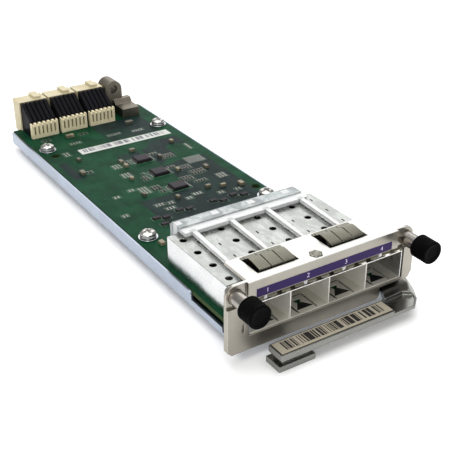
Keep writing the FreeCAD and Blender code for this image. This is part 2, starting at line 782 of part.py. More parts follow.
# Captive thumbscrews: a sleeve in the panel, a necked screw, a seat ring and a moulded knob.
def turned(name, across, corners):
    """A turned piece on a thumbscrew's axis, from radius and depth pairs."""
    body = new_body(name)
    profile = new_sketch(body, name + "_profile", level=SCREW_RISE, across=across)
    outline(profile, corners)
    spin = body.newObject("PartDesign::Revolution", name + "_spin")
    spin.Profile = profile
    spin.ReferenceAxis = (profile, ["V_Axis"])
    spin.Angle = 360
    return keep(body)


def thumbscrew(side, across):
    turned(f"thumbscrew_sleeve_{side}", across, [
        ("collar_radius + running_gap", "panel_thick"),
        ("sleeve_radius", "panel_thick"),
        ("sleeve_radius", "-sleeve_reach"),
        ("neck_radius + running_gap", "-sleeve_reach"),
        ("neck_radius + running_gap", "-sleeve_reach + lip_length"),
        ("collar_radius + running_gap", "-sleeve_reach + lip_length"),
    ])
    turned(f"captive_screw_{side}", across, [
        ("0", f"-{NECK_END}"),
        ("neck_radius", f"-{NECK_END}"),
        ("neck_radius", f"-{THREAD_FRONT}"),
        ("collar_radius", f"-{THREAD_FRONT}"),
        ("collar_radius", "panel_thick + 0.2"),
        ("thread_radius", "panel_thick + 0.2"),
        ("thread_radius", "panel_thick + thread_reach - 0.4"),
        ("thread_radius - 0.4", "panel_thick + thread_reach"),
        ("0", "panel_thick + thread_reach"),
    ])
    turned(f"knob_seat_{side}", across, [
        ("neck_radius + running_gap", f"-{NECK_END} + running_gap"),
        ("knob_bore - running_gap", f"-{NECK_END} + running_gap"),
        ("knob_bore - running_gap", f"-{NECK_END} + running_gap + seat_thick"),
        ("neck_radius + running_gap", f"-{NECK_END} + running_gap + seat_thick"),
    ])
    knob = turned(f"thumb_knob_{side}", across, [
        ("0", f"-{NECK_END}"),
        ("0", f"-{KNOB_END}"),
        ("knob_radius - 0.5", f"-{KNOB_END}"),
        ("knob_radius", f"-{KNOB_END} + 0.5"),
        ("knob_radius", "-knob_start"),
        ("knob_bore", "-knob_start"),
        ("knob_bore", f"-{NECK_END}"),
    ])
    return knob


# Backplane connectors: a cream housing at the back, six black wafers and a cream comb in front.
def module_line(number):
    return (f"({PIN_AXIS} - socket_radius - module_inset - module_width / 2"
            f" - {MODULES - number} * (module_width + module_gap))")


def rear_housing(number):
    body = new_body(f"rear_housing_{number}")
    line = module_line(number)
    rear = f"({HOUSING_FRONT} + housing_depth)"
    side = new_sketch(body, f"housing_side_{number}", "YZ_Plane", line)
    outline(side, [
        (HOUSING_FRONT, "0"),
        ("board_rear + board_gap", "0"),
        ("board_rear + board_gap", "-housing_skirt"),
        (rear, "-housing_skirt"),
        (rear, "housing_height"),
        (HOUSING_FRONT, "housing_height"),
    ])
    pad(body, side, "module_width", middle=True)
    key = new_sketch(body, f"housing_key_{number}", level="housing_height")
    oblong(key, (f"{line} + 1", f"{HOUSING_FRONT} + 0.8"), (f"{line} + 1 + key_width", rear))
    pad(body, key, "key_height")
    slot = new_sketch(body, f"contact_slot_{number}", "XZ_Plane", f"{rear} - slot_depth")
    first = f"({line} - {(WAFERS - 1) / 2} * wafer_step)"
    oblong(slot, (f"{first} - slot_width / 2", "slot_margin"),
           (f"{first} + slot_width / 2", "housing_height - slot_margin"))
    repeat(body, pocket(body, slot, "slot_depth + 1"), "X_Axis", "wafer_step", WAFERS)
    return keep(body)


def wafer_stack(number):
    """Six L-shaped contact wafers side by side, a wafer pitch apart."""
    body = new_body(f"wafer_stack_{number}")
    body.AllowCompound = True
    first = f"({module_line(number)} - {(WAFERS - 1) / 2} * wafer_step - wafer_thick / 2)"
    side = new_sketch(body, f"wafer_side_{number}", "YZ_Plane", first)
    outline(side, [
        (WAFER_NOSE, "0"),
        (HOUSING_FRONT, "0"),
        (HOUSING_FRONT, "housing_height - 0.3"),
        (f"{HOUSING_FRONT} - 1.6", "housing_height - 0.3"),
        (WAFER_NOSE, "wafer_nose_height"),
    ])
    repeat(body, pad(body, side, "wafer_thick"), "X_Axis", "wafer_step", WAFERS)
    return keep(body)


def front_comb(number):
    body = new_body(f"front_comb_{number}")
    line = module_line(number)
    face = new_sketch(body, f"comb_face_{number}", "XZ_Plane", COMB_FRONT)
    oblong(face, (f"{line} - comb_width / 2", "0"), (f"{line} + comb_width / 2", "comb_height"))
    for wafer in range(WAFERS):
        middle = f"{line} + ({wafer} - {(WAFERS - 1) / 2}) * (comb_width - 1.2) / {WAFERS}"
        oblong(face, (f"{middle} - 0.36", "1.5"), (f"{middle} + 0.36", "comb_height - 1.3"))
    pad(body, face, "comb_thick", back=True)
    teeth = new_sketch(body, f"comb_teeth_{number}", "XZ_Plane", COMB_FRONT)
    for wafer in range(WAFERS):
        middle = f"{line} + ({wafer} - {(WAFERS - 1) / 2}) * wafer_step"
        oblong(teeth, (f"{middle} - 0.45", "comb_height - 0.7"), (f"{middle} + 0.45", "comb_height + 1"))
    pocket(body, teeth, "comb_thick")
    return keep(body)


def guide_socket():
    """Die-cast block that the chassis guide pin enters from the back, with a foot in front of it."""
    body = new_body("guide_pin_socket")
    face = new_sketch(body, "socket_block", "XZ_Plane", SOCKET_FRONT)
    oblong(face, (f"{PIN_AXIS} - socket_radius", "0"), (f"{PIN_AXIS} + socket_radius", "pin_rise"))
    pad(body, face, "socket_length", back=True)
    crown = new_sketch(body, "socket_crown", "XZ_Plane", SOCKET_FRONT)
    circle(crown, PIN_AXIS, "pin_rise", "socket_radius")
    pad(body, crown, "socket_length", back=True)
    foot = new_sketch(body, "socket_foot", "YZ_Plane", f"{PIN_AXIS} - 0.4")
    outline(foot, [
        (f"{SOCKET_FRONT} - foot_depth", "0"),
        (f"{SOCKET_FRONT} + 2", "0"),
        (f"{SOCKET_FRONT} + 2", "foot_height + 2"),
        (f"{SOCKET_FRONT} - 0.4", "foot_height + 2"),
        (f"{SOCKET_FRONT} - 2", "foot_height"),
        (f"{SOCKET_FRONT} - foot_depth", "foot_height"),
    ])
    pad(body, foot, "foot_width")
    bore = new_sketch(body, "socket_bore", "XZ_Plane", SOCKET_FRONT)
    circle(bore, PIN_AXIS, "pin_rise", "pin_bore")
    pocket(body, bore, "socket_length")
    return keep(body)


# Small parts and labels on the board.
def chip(number):
    body = new_body(f"driver_chip_{number}")
    deep = f"board_rear * (chip_first + {number - 1} * chip_step)"
    flat = new_sketch(body, f"chip_outline_{number}")
    oblong(flat, ("chip_column - chip_width / 2", f"{deep} - chip_depth / 2"),
           ("chip_column + chip_width / 2", f"{deep} + chip_depth / 2"))
    pad(body, flat, "chip_height")
    soften(body, "0.25", lambda edge, spot: near(spot.z, "chip_height"), "Chamfer")
    return keep(body)


def small_parts(name, spots, height):
    """Flat packages that share one node: each is its centre, its width and its depth."""
    parts = []
    for number, (across, deep, wide, long) in enumerate(spots, start=1):
        parts.append(block(f"{name}_{number}", (f"{across} - {wide} / 2", f"{deep} - {long} / 2", "0"),
                           (wide, long, height)))
    keep(group(name, parts))


def stickers():
    keep(block("board_sticker", ("-sticker_left", "board_rear - sticker_inset", "0"),
               ("sticker_width", "sticker_depth", "sticker_sheet")))
    keep(block("port_label", (LABEL_LEFT, "0", LABEL_LOW), (LABEL_WIDTH, "label_sheet", "label_height")))
    keep(block("lever_label", ("-bar_left + 0.6", "-lever_front + 0.7", "-bar_top"),
               ("lever_label_width", "lever_label_depth", "sticker_sheet")))


# Ejector lever: a cast J-shaped arm that swings on a rivet behind the panel's notch.
def ejector_lever():
    body = new_body("ejector_lever")
    bar = new_sketch(body, "lever_bar", level=LEVER_LOW)
    oblong(bar, ("-bar_left", "-lever_front"), ("arm_left + 1", "-bar_back"))
    pad(body, bar, "lever_top + lever_thick - bar_top")
    arm = new_sketch(body, "lever_arm", level=LEVER_LOW)
    outline(arm, [
        ("arm_left", "-lever_front"),
        (f"{PIVOT} - 1.6", "-lever_front"),
        (f"{PANEL_RIGHT} - 3.9", "-lever_front + 3.2"),
        (f"{PANEL_RIGHT} - 1.2", "-bar_back + 1.0"),
        (f"{PANEL_RIGHT} - 0.3", "pivot_back - hub_radius - lever_gap - 0.4"),
        ("notch_left + 1.6", "pivot_back - hub_radius - lever_gap - 0.4"),
        ("arm_left", "-bar_back"),
    ])
    pad(body, arm, "lever_thick")
    document.recompute()
    soften(body, "lever_thick * 0.75", lambda edge, spot: near(spot.z, "-lever_top")
           and spot.x > value(f"{PIVOT} - 1.6") and spot.y < value("-bar_back + 0.5")
           and spot.y > value("-lever_front + 0.1"), "Chamfer")
    platform = new_sketch(body, "lever_platform", level="-lever_top")
    outline(platform, [
        ("platform_left", "-lever_front - 1"),
        (f"{PIVOT} - 1.9", "-lever_front - 1"),
        (f"{PIVOT} + 1.6", "-lever_front + 4.4"),
        (f"{PIVOT} - 1.2", "-bar_back - 0.1"),
        ("platform_left", "-bar_back - 0.5"),
    ])
    pocket(body, platform, "platform_drop")
    hub = new_sketch(body, "lever_hub", level=HUB_LOW)
    circle(hub, PIVOT, "pivot_back", "hub_radius")
    pad(body, hub, HUB_THICK)
    root = new_sketch(body, "lever_root", level=HUB_LOW)
    oblong(root, ("notch_left + 2", "-1"), (f"{PIVOT} + hub_radius - 0.6", "pivot_back"))
    pad(body, root, HUB_THICK)
    tab = new_sketch(body, "lever_tab", level=f"{LEVER_LOW} - tab_drop")
    oblong(tab, ("-bar_left - 0.4", "-lever_front + 0.5"), ("-bar_left + tab_width", "-bar_back + 0.6"))
    pad(body, tab, "tab_thick")
    web = new_sketch(body, "lever_web", level=f"{LEVER_LOW} - tab_drop")
    oblong(web, ("-bar_left + web_inset", "-lever_front + web_inset"), ("-bar_left + tab_width - web_inset", "-bar_back - 0.4"))
    pad(body, web, "tab_drop + 0.5")
    bore = new_sketch(body, "lever_bore", level=f"{HUB_LOW} + {HUB_THICK}")
    circle(bore, PIVOT, "pivot_back", "pivot_radius + running_gap")
    pocket(body, bore, HUB_THICK)
    return keep(body)


def lever_pivot():
    pin = rod("pivot_pin", (PIVOT, "pivot_back", TRAY_TOP), "pivot_radius", f"{HUB_THICK} + 2 * lever_gap")
    head = rod("pivot_head", (PIVOT, "pivot_back", f"{TRAY_TOP} + {HUB_THICK} + 2 * lever_gap"),
               "pivot_radius + 1", "0.45")
    keep(join("lever_pivot", [pin, head]))


circuit_board()
base_tray()
board_fixings()
front_panel()
cage_cover()
cage_base()
for port_number in range(1, PORTS):
    cage_divider(port_number)
for port_number in range(1, PORTS + 1):
    port_socket(port_number)
emi_fingers()
light_guide()
port_leds()
ground_clip("ground_clip_left", -1)
ground_clip("ground_clip_right", 1)
thumbscrew("left", SCREW_LEFT)
thumbscrew("right", SCREW_RIGHT)
for module_number in range(1, MODULES + 1):
    rear_housing(module_number)
    wafer_stack(module_number)
    front_comb(module_number)
guide_socket()
for chip_number in range(1, CHIPS + 1):
    chip(chip_number)
small_parts("resistor_arrays", [(across, deep, "array_width", "array_depth") for across, deep in ARRAY_SPOTS],
            "array_height")
small_parts("chip_capacitors", [(across, f"board_rear * {share}", wide, long)
                                for across, share, wide, long in CAPACITOR_SPOTS], "capacitor_height")
stickers()
ejector_lever()
lever_pivot()

document.recompute()
for item in document.Objects:
    if "Invalid" in item.State or "Error" in item.State:
        raise RuntimeError(item.Label + " failed")
os.makedirs("parts", exist_ok=True)
for node in nodes:
    if node.Shape.isNull() or not node.Shape.isValid():
        raise RuntimeError(node.Label + " has no valid shape")
    print(node.Label, len(node.Shape.Solids), round(node.Shape.Volume, 2))
    node.Shape.exportStep(f"parts/{node.Label}.step")
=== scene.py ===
# %% [markdown]
# # Dressing a switch line card
# A line card is a small circuit board in a sheet-metal tray that slides into a network switch.
# The solids come in as a fixed frame, in metres, and are already the right size.
# What is left is what a solid can't show: plating, solder mask, moulded plastic, print and wear.
# A few pieces that need finer shapes than the frame has are worked out here as surfaces.

# %% Load the frame
import math
import bpy
import numpy as np
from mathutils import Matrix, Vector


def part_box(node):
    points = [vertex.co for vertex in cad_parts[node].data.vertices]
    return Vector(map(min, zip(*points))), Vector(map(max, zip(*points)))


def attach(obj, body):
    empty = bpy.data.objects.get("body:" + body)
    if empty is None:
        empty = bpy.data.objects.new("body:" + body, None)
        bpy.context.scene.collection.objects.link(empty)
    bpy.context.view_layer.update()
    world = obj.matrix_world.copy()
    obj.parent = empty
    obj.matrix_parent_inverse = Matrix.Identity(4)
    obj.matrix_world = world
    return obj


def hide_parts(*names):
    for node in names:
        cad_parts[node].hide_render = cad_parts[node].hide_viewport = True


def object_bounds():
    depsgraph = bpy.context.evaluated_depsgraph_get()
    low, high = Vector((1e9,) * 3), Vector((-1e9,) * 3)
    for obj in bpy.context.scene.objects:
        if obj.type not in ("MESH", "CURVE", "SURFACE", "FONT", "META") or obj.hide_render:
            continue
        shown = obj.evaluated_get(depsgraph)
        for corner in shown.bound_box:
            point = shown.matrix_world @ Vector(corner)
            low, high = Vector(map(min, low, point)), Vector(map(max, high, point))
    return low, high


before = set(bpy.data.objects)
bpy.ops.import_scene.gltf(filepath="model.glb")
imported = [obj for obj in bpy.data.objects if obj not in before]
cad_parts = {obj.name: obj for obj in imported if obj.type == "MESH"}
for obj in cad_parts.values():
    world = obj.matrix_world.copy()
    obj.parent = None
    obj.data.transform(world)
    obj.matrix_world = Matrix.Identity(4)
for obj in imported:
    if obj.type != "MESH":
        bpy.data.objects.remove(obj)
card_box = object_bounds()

MM = 0.001

# %% [markdown]
# ## Places from the frame
# Where a solid already says where something is, nothing is placed by eye. These helpers ask the frame
# for a piece's corners, middle or points, in millimetres, which are easier to read than metres.
# The four ports repeat across the card, so the width of one is a value of its own.

# %% Where a piece is
PORT_WIDTH = 14.25
MODULES = (1, 2, 3)
CHIPS = (1, 2, 3)
PORTS = (1, 2, 3, 4)


def corners_of(node):
    """A node's lowest and highest corners, in millimetres."""
    return [np.array(corner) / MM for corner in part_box(node)]


def middle_of(node):
    """A node's middle, in millimetres."""
    low, high = corners_of(node)
    return (low + high) / 2


def points_of(mesh):
    """A mesh's points as an (n, 3) array, in millimetres."""
    flat = np.empty(len(mesh.vertices) * 3)
    mesh.vertices.foreach_get("co", flat)
    return flat.reshape(-1, 3) / MM


print("the first chip's middle is at", np.round(middle_of("driver_chip_1"), 1).tolist())

# %% [markdown]
# ## Surfaces from arrays
# Each new shape is a grid of points: one parameter runs along its rows and one along its columns.
# Blender could also extrude or spin it by hand, but whole arrays keep the formula in sight.
# A piece is often many small shapes, so one helper joins them, moving each shape's faces on.

# %% Turn a grid of points into a piece
def grid_faces(rows, columns, closed=False):
    """Quads between neighbours: the last column meets the first, and if closed the last row does too."""
    row, column = np.meshgrid(np.arange(rows if closed else rows - 1), np.arange(columns), indexing="ij")
    ahead, step = (row + 1) % rows, (column + 1) % columns
    quads = np.stack([row * columns + column, row * columns + step,
                      ahead * columns + step, ahead * columns + column], axis=-1)
    return quads.reshape(-1, 4).tolist()


def end_caps(rows, columns):
    """One flat face over the first row of a grid and one over its last, turned to face out."""
    return [list(range(columns))[::-1], list(range((rows - 1) * columns, rows * columns))]


def joined(shapes):
    """Several (points, faces) shapes as one: a shape's faces move on by all the points before it."""
    starts = np.cumsum([0] + [len(points) for points, faces in shapes]).tolist()
    faces = [[index + start for index in face] for start, shape in zip(starts, shapes) for face in shape[1]]
    return np.concatenate([points for points, faces in shapes]), faces


def scattered(shape, places):
    """The same (points, faces) shape at each place."""
    points, faces = shape
    return joined([(points + place, faces) for place in places])


def new_object(name, data):
    """An object that holds this mesh, light or camera, linked to the scene."""
    made = bpy.data.objects.new(name, data)
    bpy.context.scene.collection.objects.link(made)
    return made


def make_piece(name, points, faces, body, slot, smooth=True):
    """A mesh from an (n, 3) array in millimetres and a list of faces, riding on a body."""
    mesh = bpy.data.meshes.new(name)
    mesh.from_pydata((np.asarray(points) * MM).tolist(), [], faces)
    mesh.polygons.foreach_set("use_smooth", np.full(len(mesh.polygons), smooth))
    mesh.update()
    piece = new_object(name, mesh)
    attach(piece, body)
    return piece


print("a tube of 3 rings of 4 points has", len(grid_faces(3, 4) + end_caps(3, 4)), "faces with its caps")

# %% [markdown]
# ## Shader maths as plain expressions
# A finish is a graph of nodes, which is hard to read as a list of links.
# Here a small class stands for one output of a node. Adding or multiplying two of them adds the Math
# node that does it, so a formula reads as a formula. Every other node comes from one method.

# %% A wire between shader nodes
class Wire:
    """One output socket of a shader tree, with arithmetic."""

    def __init__(self, tree, socket=None):
        self.tree = tree
        self.socket = socket

    def node(self, kind, settings=None, inputs=None, out=0):
        """Any node: its settings first, then what goes into its sockets; returns the output asked for."""
        made = self.tree.nodes.new(kind)
        for name, setting in (settings or {}).items():
            setattr(made, name, setting)
        for name, given in (inputs or {}).items():
            if isinstance(given, Wire):
                self.tree.links.new(given.socket, made.inputs[name])
            else:
                made.inputs[name].default_value = given
        return Wire(self.tree, made.outputs[out])

    def maths(self, operation, *terms):
        """A Math node on these terms."""
        return self.node("ShaderNodeMath", {"operation": operation}, dict(enumerate(terms)))

    def __add__(self, other):
        return self.maths("ADD", self, other)

    def __sub__(self, other):
        return self.maths("SUBTRACT", self, other)

    def __rsub__(self, other):
        return self.maths("SUBTRACT", other, self)

    def __mul__(self, other):
        return self.maths("MULTIPLY", self, other)

    def __truediv__(self, other):
        return self.maths("DIVIDE", self, other)

    def __mod__(self, other):
        return self.maths("FLOORED_MODULO", self, other)

    def __gt__(self, other):
        return self.maths("GREATER_THAN", self, other)

    def __lt__(self, other):
        return self.maths("LESS_THAN", self, other)

    def __abs__(self):
        return self.maths("ABSOLUTE", self)

    __radd__ = __add__
    __rmul__ = __mul__

    def ramp(self, low, high):
        """0 below low, 1 above high, straight between."""
        return self.node("ShaderNodeMapRange", None,
                         {"Value": self, "From Min": low, "From Max": high, "To Min": 0.0, "To Max": 1.0})

    def band(self, rise, full, fade, end):
        """0 below rise, 1 from full to fade, 0 above end, straight between."""
        return self.ramp(rise, full) * (1.0 - self.ramp(fade, end))

    def within(self, low, high):
        """1 between low and high, and 0 outside."""
        return (self > low) * (self < high)

    def between(self, one, other):
        """The colour one where this is 0 and the colour other where it is 1."""
        return self.node("ShaderNodeMix", {"data_type": "RGBA"}, {0: self, 6: one, 7: other}, 2)


def largest(first, *others):
    """The largest of several wires."""
    for other in others:
        first = first.maths("MAXIMUM", first, other)
    return first


def paint(red, green, blue):
    """A colour as a shader socket takes it."""
    return (red, green, blue, 1.0)


def shaded(colour, gain, lift=0.0):
    """A colour made lighter or darker: each part times gain, plus lift, and 1 at most."""
    return paint(*[min(1.0, part * gain + lift) for part in colour])


print("a mid grey lifted by a third is", np.round(shaded((0.5, 0.5, 0.5), 1.35, 0.04), 3).tolist())

# %% [markdown]
# ## One class for every finish
# Each material starts the same way: a Principled shader and the place on the part in millimetres.
# Object coordinates are used because they stay with the piece when it moves, and because sizes in a
# pattern can then be read off the real thing. Edges are found with a Bevel node: where it turns the
# normal, the surface is close to an edge, and edges are where plating rubs bright.

# %% Start a finish
class Finish:
    """A material under way: mm is the place on the part in millimetres, and x, y, z are its parts."""

    def __init__(self, name):
        self.material = bpy.data.materials.new(name)
        self.material.use_nodes = True
        self.tree = self.material.node_tree
        self.shader = self.tree.nodes["Principled BSDF"]
        self.graph = Wire(self.tree)
        where = self.graph.node("ShaderNodeTexCoord", out="Object")
        self.mm = self.graph.node("ShaderNodeVectorMath", {"operation": "SCALE"},
                                  {0: where, "Scale": 1 / MM})
        self.x, self.y, self.z = (self.graph.node("ShaderNodeSeparateXYZ", None, {0: self.mm}, axis)
                                  for axis in range(3))

    def noise(self, per_mm, detail=3.0, rough=0.55, stretch=None):
        """Cloudy noise with per_mm features a millimetre, stretched along an axis if asked."""
        where = self.mm
        if stretch:
            where = self.graph.node("ShaderNodeVectorMath", {"operation": "MULTIPLY"}, {0: where, 1: stretch})
        return self.graph.node("ShaderNodeTexNoise", None, {"Vector": where, "Scale": per_mm,
                                                            "Detail": detail, "Roughness": rough}, "Fac")

    def edges(self, radius):
        """The normal of rounded edges, and how far it turns from the flat one: bright only along edges."""
        soft = self.graph.node("ShaderNodeBevel", {"samples": 6}, {"Radius": radius * MM})
        flat = self.graph.node("ShaderNodeNewGeometry", out="Normal")
        facing = self.graph.node("ShaderNodeVectorMath", {"operation": "DOT_PRODUCT"},
                                 {0: soft, 1: flat}, "Value")
        return soft, (1.0 - facing).ramp(0.0, 0.12)

    def port_offset(self):
        """How far a place is from the middle of its own port, along X."""
        return (self.x + 2 * PORT_WIDTH) % PORT_WIDTH - PORT_WIDTH / 2

    def set(self, **values):
        """Feed or set the shader's sockets; an underscore stands for a space."""
        for name, given in values.items():
            socket = self.shader.inputs[name.replace("_", " ")]
            if isinstance(given, Wire):
                self.tree.links.new(given.socket, socket)
            else:
                socket.default_value = given
        return self

    def colour(self):
        """The wire that feeds the base colour so far, so that another layer can go over it."""
        return Wire(self.tree, self.shader.inputs["Base Color"].links[0].from_socket)

    def bump(self, height, strength, distance, normal=None):
        """Relief: height is 0 to 1 and distance is how deep that is, in millimetres."""
        inputs = {"Height": height, "Strength": strength, "Distance": distance * MM}
        if normal is not None:
            inputs["Normal"] = normal
        return self.set(Normal=self.graph.node("ShaderNodeBump", None, inputs))

    def dress(self, *names):
        """Put the finish on every node whose name starts with one of these."""
        for node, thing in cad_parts.items():
            if node.startswith(names):
                thing.data.materials.clear()
                thing.data.materials.append(self.material)
        return self

    def on(self, piece):
        """Put the finish on a new piece."""
        piece.data.materials.append(self.material)
        return piece


print("finishes ready to mix")

# %% [markdown]
# ## Plated sheet and turned metal
# Most of the card is plated steel. Real plating is never even: it has a fine rolled grain, cloudy
# patches where it was handled, and brighter edges where the sheet was cut or rubs in its slot.
# One recipe gives all of these, and each metal gets its own colour, grain and polish.

# %% A recipe for metal
def metal(name, colour, dark, rough, grain=(1.0, 1.0, 1.0), edge=0.18, polish=0.1, metallic=1.0,
          relief=0.012):
    """Plating: colour clouds between dark and colour, roughness follows the grain, edges are lighter."""
    finish = Finish(name)
    cloud = finish.noise(0.09, 4.0).ramp(0.3, 0.7)
    fine = finish.noise(2.2, 5.0, 0.7, grain)
    soft, worn = finish.edges(edge)
    base = (cloud * 0.75 + fine * 0.25).between(paint(*dark), paint(*colour))
    finish.set(Base_Color=(worn * 0.55).between(base, shaded(colour, 1.35, 0.04)), Metallic=metallic,
               Roughness=rough + (fine - 0.5) * polish + (cloud - 0.5) * 0.08)
    finish.bump(fine, 0.25, relief, soft)
    return finish


zinc = metal("bright zinc", (0.62, 0.63, 0.64), (0.38, 0.39, 0.41), 0.17, edge=0.1)
zinc.dress("board_standoffs", "flat_washers", "lock_washers", "knob_seat")
nickel = metal("bright nickel", (0.62, 0.61, 0.59), (0.36, 0.355, 0.34), 0.16, edge=0.1)
nickel.dress("board_screws", "captive_screw", "lever_pivot")
spring_strip = metal("spring strip", (0.225, 0.22, 0.18), (0.155, 0.15, 0.12), 0.26, (1.0, 0.2, 1.0), 0.10)
metal("divider tin", (0.92, 0.90, 0.84), (0.74, 0.72, 0.66), 0.42, (1.0, 0.3, 1.0), 0.06,
      metallic=0.5).dress("cage_divider")
metal("tray zinc", (0.47, 0.52, 0.60), (0.37, 0.41, 0.48), 0.34, (1.0, 0.12, 1.0), 0.2).dress("base_tray")
metal("finger strip", (0.40, 0.375, 0.31), (0.28, 0.26, 0.21), 0.42, edge=0.08).dress("emi_fingers")
metal("turned sleeve", (0.46, 0.43, 0.40), (0.32, 0.30, 0.28), 0.26, (1.0, 4.0, 1.0),
      0.15).dress("thumbscrew_sleeve")
metal("cast block", (0.28, 0.255, 0.21), (0.17, 0.155, 0.13), 0.46, edge=0.35,
      relief=0.05).dress("guide_pin_socket")
metal("cast lever", (0.31, 0.31, 0.29), (0.25, 0.25, 0.235), 0.24, edge=0.4).dress("ejector_lever")
print(len(bpy.data.materials), "metals so far")

# %% [markdown]
# ## The panel and the cage
# The panel's sheet folds back into a flange, whose top is painted paler: a painted highlight for the overhead
# light on it.
# The cage is tinned sheet. Its top is painted darker than its sides, a painted shade against the light from
# above, and its mouth is painted bright, as painted light. Behind that it lies in the flange's shade,
# which soft studio light fills in too much. So the shade is painted: four places along Y say where
# it starts, is full, starts to fade and ends. Its cost is that it stays when the light moves.

# %% Panel and cage
SHADE = paint(0.03, 0.028, 0.022)
SHADE_ON_CAGE = (3.2, 4.2, 12.4, 12.9)
SHADE_ON_GUIDE = (2.6, 3.4, 12.2, 12.9)

panel_plate = metal("panel plating", (0.465, 0.44, 0.39), (0.365, 0.345, 0.305), 0.34, (0.25, 1.0, 2.0), 0.3)
# painted highlight: the flange's top is painted paler for the overhead light that falls on it
flange_top_highlight = panel_plate.z.ramp(17.3, 17.58)
panel_plate.set(Base_Color=(flange_top_highlight * 0.85).between(panel_plate.colour(), paint(0.62, 0.62, 0.60)))
panel_plate.dress("front_panel")

cage_tin = metal("cage tin", (0.80, 0.805, 0.80), (0.60, 0.605, 0.61), 0.27, (1.6, 0.3, 1.0), 0.14,
                 relief=0.006)
smears = cage_tin.noise(0.35, 4.0, 0.6, (1.0, 0.5, 1.0)).ramp(0.45, 0.62)
# painted shade: the top takes a darker colour than the cage's sides, against the overhead light; the smears
# on it are the tin's own
top_colour = smears.between(paint(0.335, 0.345, 0.33), paint(0.42, 0.43, 0.415))
# painted light: the front of the top, at the mouth, is painted bright
mouth = 1.0 - cage_tin.y.ramp(SHADE_ON_CAGE[0], SHADE_ON_CAGE[0] + 0.6)
top_colour = (mouth * 0.9).between(top_colour, paint(0.95, 0.93, 0.88))
top_colour = (cage_tin.y.band(*SHADE_ON_CAGE) * 0.85).between(top_colour, SHADE)
cage_tin.set(Base_Color=cage_tin.z.ramp(9.5, 9.75).between(cage_tin.colour(), top_colour))
cage_tin.dress("cage_cover")
print("panel and cage on")

# %% [markdown]
# ## The floor of a port
# Each port's floor has a latch tongue, cut free on three sides, and a triangular hole for the latch of
# the module. Cutting them would cost the solid many faces for what shows only through the mouth. So a
# mask, worked out from the place inside the port, turns the tin black and dull there instead: painted shade
# for the dark that the holes would show.

# %% Port floor
def port_floor():
    """Tin that turns dark in two long slits, one across their end, and a triangle that narrows inwards:
    painted shade of holes not cut.
    """
    finish = metal("port floor tin", (0.90, 0.87, 0.78), (0.66, 0.63, 0.56), 0.4, (1.6, 0.3, 1.0), 0.14,
                   metallic=0.6)
    aside = abs(finish.port_offset())
    deep = finish.y
    slits = (abs(aside - 3.3) < 0.14) * deep.within(0.9, 9.2)
    slit_end = (abs(deep - 9.1) < 0.16) * (aside < 3.4)
    triangle = deep.within(2.3, 6.2) * (aside < (6.4 - deep) * 0.72)
    # painted shade: the slits and the triangle are painted black, where the holes would show dark
    cut = largest(slits, slit_end, triangle)
    finish.set(Base_Color=cut.between(finish.colour(), paint(0.006, 0.006, 0.006)),
               Metallic=(1.0 - cut) * 0.6)
    return finish


port_floor().dress("cage_base")
print(len(bpy.data.materials), "finishes so far")

# %% [markdown]
# ## Solder mask and copper
# A board is laminate with copper under a thin green varnish. Where copper floods the layer below, the
# mask looks darker and bluer; tracks show as fine ridges that turn in steps. Noise alone looks like
# marble, so the tracks here come from a brick pattern, whose joints run straight.

# %% Circuit board
FLOODS = [(6.5, 26.0, 90.0, 139.0), (-16.0, 26.0, 50.0, 91.0), (-11.0, 5.0, 127.0, 138.0),
          (-28.0, -19.0, 121.0, 138.0), (0.0, 24.0, 148.0, 168.0)]
BLACK, WHITE = paint(0, 0, 0), paint(1, 1, 1)


def copper_lanes(finish, where, length, pitch):
    """The joints of long low bricks, length by pitch, seen as lanes of copper under the varnish."""
    return finish.graph.node("ShaderNodeTexBrick", {"offset": 0.37},
                             {"Vector": where, "Scale": 1.0, "Mortar Size": 0.075, "Mortar Smooth": 0.3,
                              "Brick Width": length, "Row Height": pitch, "Color1": BLACK,
                              "Color2": BLACK, "Mortar": WHITE}, "Fac")


